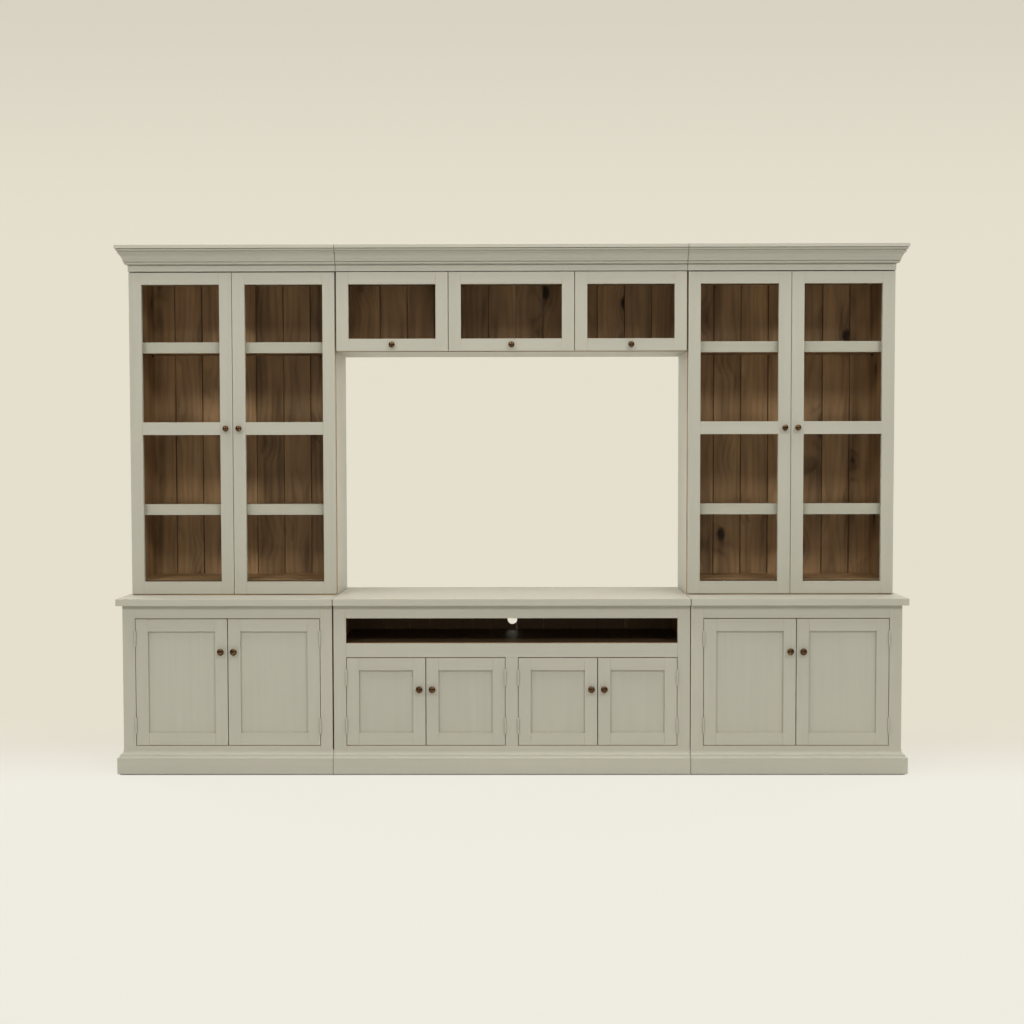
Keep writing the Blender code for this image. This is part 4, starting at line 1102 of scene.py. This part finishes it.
class WALLUNIT_OT_cornices(UnitOperator, bpy.types.Operator):
    """Run the cornices along the top and box them in behind"""

    bl_idname = "wall_unit.cornices"
    bl_label = "Cornices"

    def build(self, sizes, colours):
        foot, top = CORNICE_LOW.z, CORNICE_HIGH.z
        proud = CORNICE_HIGH.x - OUTER_X
        front = CORNICE_LOW.y + proud
        behind, rail_y = front + CORNICE_WALL, BACK_Y - CORNICE_BOARD
        dust_zs = [top - drop for drop in DUST_PANEL]
        for word, side in (("hutch_left", -1), ("bridge", 0), ("hutch_right", 1)):
            low, high = in_row(f"{word}_cornice", side, REVEAL)
            start, end = (high.x, low.x) if side < 0 else (low.x, high.x)
            end -= side * proud
            bench = Bench(f"{word}_cornice_box")
            bench.moulding(self.profile(foot, top, proud), start, end, front, side)
            inner = [start + CORNICE_BOARD * (-1 if side < 0 else 1), end - side * CORNICE_WALL]
            ends = [(start, inner[0])]
            if not side:
                inner[1] = end - CORNICE_BOARD
                ends.append((inner[1], end))
            for xs in ends:
                bench.board(sorted(xs), (behind, BACK_Y), (foot, top), Y)
            inner.sort()
            bench.board(inner, (rail_y, BACK_Y), (foot, top), X)
            bench.board(inner, (behind, rail_y), dust_zs, X, STAIN, tone=DUST_AND_SHADE_TONE)
            bench.done(f"{word}_cornice", smooth=MOULDING_ANGLE)

    def profile(self, foot, top, proud):
        """Return the closed section: frieze, bead, quirk, fillet, cove, fillet and corona."""
        outline = [(-CORNICE_WALL, 0), (0, 0), (0, 0.0232), (-0.0016, 0.0236), (-0.0016, 0.0262),
                   (0.0060, 0.0268)]
        outline += quarter((0.0070, 0.0268), (0.0125, 0.0310), False)
        outline += [(0.0125, 0.0344), (0.0118, 0.0350), (0.0102, 0.0350), (0.0102, 0.0374),
                    (0.0160, 0.0379), (0.0160, 0.0458)]
        low, high = (0.0170, 0.0458), (proud - 0.0095, 0.0706)
        swept = quarter(low, high, True)
        for index, (step, height) in enumerate(swept):
            share = index / (len(swept) - 1)
            straight = [a + (b - a) * share for a, b in zip(low, high)]
            outline.append((0.4 * step + 0.6 * straight[0], 0.4 * height + 0.6 * straight[1]))
        outline += [(proud - 0.0120, 0.0712), (proud - 0.0120, 0.0780), (proud - 0.0060, 0.0784),
                    (proud - 0.0048, 0.0848), (proud - 0.0075, 0.0852), (proud - 0.0075, 0.0870),
                    (proud, 0.0874)]
        outline = [(step, foot + height) for step, height in outline]
        return outline + [(proud, top - 0.0012), (proud - 0.0012, top), (-CORNICE_WALL, top)]


class WALLUNIT_OT_stage(UnitOperator, bpy.types.Operator):
    """Set the floor and backdrop, the lamps and the camera"""

    bl_idname = "wall_unit.stage"
    bl_label = "Stage"

    def build(self, sizes, colours):
        self.sweep(colours)
        for lamp in LAMPS:
            self.lamp(*lamp)
        self.studio(colours)
        self.camera()
        bpy.context.scene.view_settings.view_transform = "Standard"

    def studio(self, colours):
        """Light the room evenly, and show it in the backdrop's colour, straight or through a pane."""
        world = bpy.context.scene.world = bpy.data.worlds.new("studio")
        finish = Finish(world)
        even = finish.node("Background", {"Color": rgba((1, 1, 1)), "Strength": ROOM_LIGHT})
        shown = finish.node("Background", {"Color": rgba(colours.backdrop), "Strength": 1.0})
        dark = finish.node("Background", {"Color": rgba((0, 0, 0)), "Strength": 0.0})
        ray = finish.node("LightPath", output="Is Camera Ray")
        mirrored = ray.math("GREATER_THAN", ray.out("Glossy Depth"), 0.5)
        seen = ray.math("MAXIMUM", ray, ray.out("Is Transmission Ray"))
        shown = finish.node("MixShader", {0: mirrored, 1: shown, 2: dark})
        lit = finish.node("MixShader", {0: seen, 1: even, 2: shown})
        finish.node("OutputWorld", {"Surface": lit})
        world.cycles_visibility.glossy = False

    def lamp(self, name, place, target, spread, power, mirrored):
        """Hang one soft rectangular lamp."""
        aim = (Vector(target) - Vector(place)).to_track_quat("-Z", "Y").to_euler()
        bpy.ops.object.light_add(type="AREA", location=place, rotation=aim)
        lamp = bpy.context.object
        lamp.name = lamp.data.name = name
        lamp.data.shape = "RECTANGLE"
        lamp.data.size, lamp.data.size_y = spread
        lamp.data.energy = power
        lamp.visible_camera = False
        lamp.visible_transmission = False
        lamp.visible_glossy = mirrored

    def camera(self):
        """Put the camera where the view was taken from."""
        bpy.ops.object.camera_add(location=(0, 0, 0))
        camera = bpy.context.object
        camera.name = camera.data.name = "camera"
        camera.data.sensor_width = SENSOR
        camera.data.lens = SENSOR * FOCAL_SHARE
        pan = Matrix.Rotation(CAMERA_PAN, 4, "Z")
        tilt = Matrix.Rotation(math.pi / 2 + CAMERA_TILT, 4, "X")
        roll = Matrix.Rotation(CAMERA_ROLL, 4, "Z")
        place = Matrix.Translation((CAMERA_X, BACK_Y - CAMERA_DISTANCE, CAMERA_Z))
        camera.matrix_world = place @ (pan @ tilt) @ roll
        bpy.context.scene.camera = camera

    def sweep(self, colours):
        """Lay the floor and sweep it up into the backdrop."""
        deselect()
        bpy.ops.mesh.primitive_plane_add(size=1, location=(0, FLOOR_Y, 0))
        floor = bpy.context.object
        floor.name = floor.data.name = "studio_sweep"
        floor.scale = FLOOR_SIZE
        bpy.ops.object.transform_apply(location=True, rotation=True, scale=True)
        back = max(vert.co.y for vert in floor.data.vertices)
        bpy.ops.object.mode_set(mode="EDIT")
        bpy.ops.mesh.select_mode(type="EDGE")
        self.choose_corner(floor, back)
        bpy.ops.mesh.extrude_region_move(**move((0, 0, BACKDROP_HEIGHT)))
        self.choose_corner(floor, back)
        bpy.ops.mesh.bevel(offset=SWEEP_RADIUS, segments=SWEEP_SEGMENTS, profile=0.5, affect="EDGES")
        bpy.ops.object.mode_set(mode="OBJECT")
        bpy.ops.object.shade_smooth()
        floor.data.materials.append(self.paper(colours))

    def choose_corner(self, floor, back):
        """Select the edge where floor and backdrop meet."""
        bpy.ops.mesh.select_all(action="DESELECT")
        bm = bmesh.from_edit_mesh(floor.data)
        for edge in bm.edges:
            edge.select_set(all(abs(v.co.y - back) + abs(v.co.z) < SAME for v in edge.verts))
        bmesh.update_edit_mesh(floor.data)

    def paper(self, colours):
        """Pale paper in its own colours where it is in view, painted darker towards the top of the backdrop, with
        the unit's shadow on its floor.
        """
        finish = Finish(bpy.data.materials.new("studio_paper"))
        depth = finish.node("SeparateXYZ", {0: finish.place()}, "Y")
        aside = depth.math("ABSOLUTE", depth.out("X"))
        under = finish.between(depth, *UNDER_FRONT) * finish.between(aside, *UNDER_SIDE)
        under = under * finish.between(depth, *UNDER_BACK)
        far = finish.between(depth, -0.5, 0.5)
        # painted shade: the backdrop darkens towards its top, as the light falls off there
        dusk = finish.between(depth.out("Z"), 2.6, 4.8)
        floor = finish.mix(far, rgba(colours.floor), rgba(colours.backdrop))
        shade = finish.mix(dusk, floor, rgba(colours.backdrop, 0.86))
        lit = finish.node("BsdfDiffuse", {"Color": rgba((0.600, 0.590, 0.562))})
        even = finish.node("Emission", {"Color": shade, "Strength": 1.0})
        ray = finish.node("LightPath", output="Is Camera Ray")
        bent = ray.math("MAXIMUM", ray.out("Is Glossy Ray"), ray.out("Is Transmission Ray"))
        seen = ray.math("MAXIMUM", ray, bent)
        clear = (0.86 + 0.14 * finish.between(depth, 0.45, 1.0)) * (1.0 - 0.95 * under)
        paper = finish.node("MixShader", {0: seen * clear, 1: lit, 2: even})
        gone = finish.node("BsdfTransparent")
        behind = finish.node("NewGeometry", output="Backfacing")
        return finish.surface(finish.node("MixShader", {0: behind, 1: paper, 2: gone}))


OPERATORS = (
    WALLUNIT_OT_finishes, WALLUNIT_OT_wing_bases, WALLUNIT_OT_centre_base, WALLUNIT_OT_worktops,
    WALLUNIT_OT_plinths, WALLUNIT_OT_base_doors, WALLUNIT_OT_butt_hinges, WALLUNIT_OT_hutches,
    WALLUNIT_OT_shelves, WALLUNIT_OT_hutch_doors, WALLUNIT_OT_bridge, WALLUNIT_OT_flaps,
    WALLUNIT_OT_cornices, WALLUNIT_OT_knobs, WALLUNIT_OT_stage,
)


class WALLUNIT_PT_sidebar(bpy.types.Panel):
    """Lists the steps of the build and their sizes and colours"""

    bl_idname = "WALLUNIT_PT_sidebar"
    bl_label = "Wall Unit"
    bl_space_type = "VIEW_3D"
    bl_region_type = "UI"
    bl_category = "Wall Unit"

    def draw(self, context):
        layout = self.layout
        for operator in OPERATORS:
            layout.operator(operator.bl_idname)
        for group in (context.scene.wall_unit_sizes, context.scene.wall_unit_colours):
            for name in group.__annotations__:
                layout.prop(group, name)


CLASSES = (WallUnitSizes, WallUnitColours, *OPERATORS, WALLUNIT_PT_sidebar)


def register():
    """Add the classes and their properties to Blender."""
    for cls in CLASSES:
        bpy.utils.register_class(cls)
    bpy.types.Scene.wall_unit_sizes = bpy.props.PointerProperty(type=WallUnitSizes)
    bpy.types.Scene.wall_unit_colours = bpy.props.PointerProperty(type=WallUnitColours)


def unregister():
    """Take the classes and their properties out of Blender."""
    del bpy.types.Scene.wall_unit_colours
    del bpy.types.Scene.wall_unit_sizes
    for cls in reversed(CLASSES):
        bpy.utils.unregister_class(cls)


def main():
    """Register the classes and run every step in order."""
    register()
    for operator in OPERATORS:
        group, step = operator.bl_idname.split(".")
        getattr(getattr(bpy.ops, group), step)()


if __name__ == "__main__":
    main()
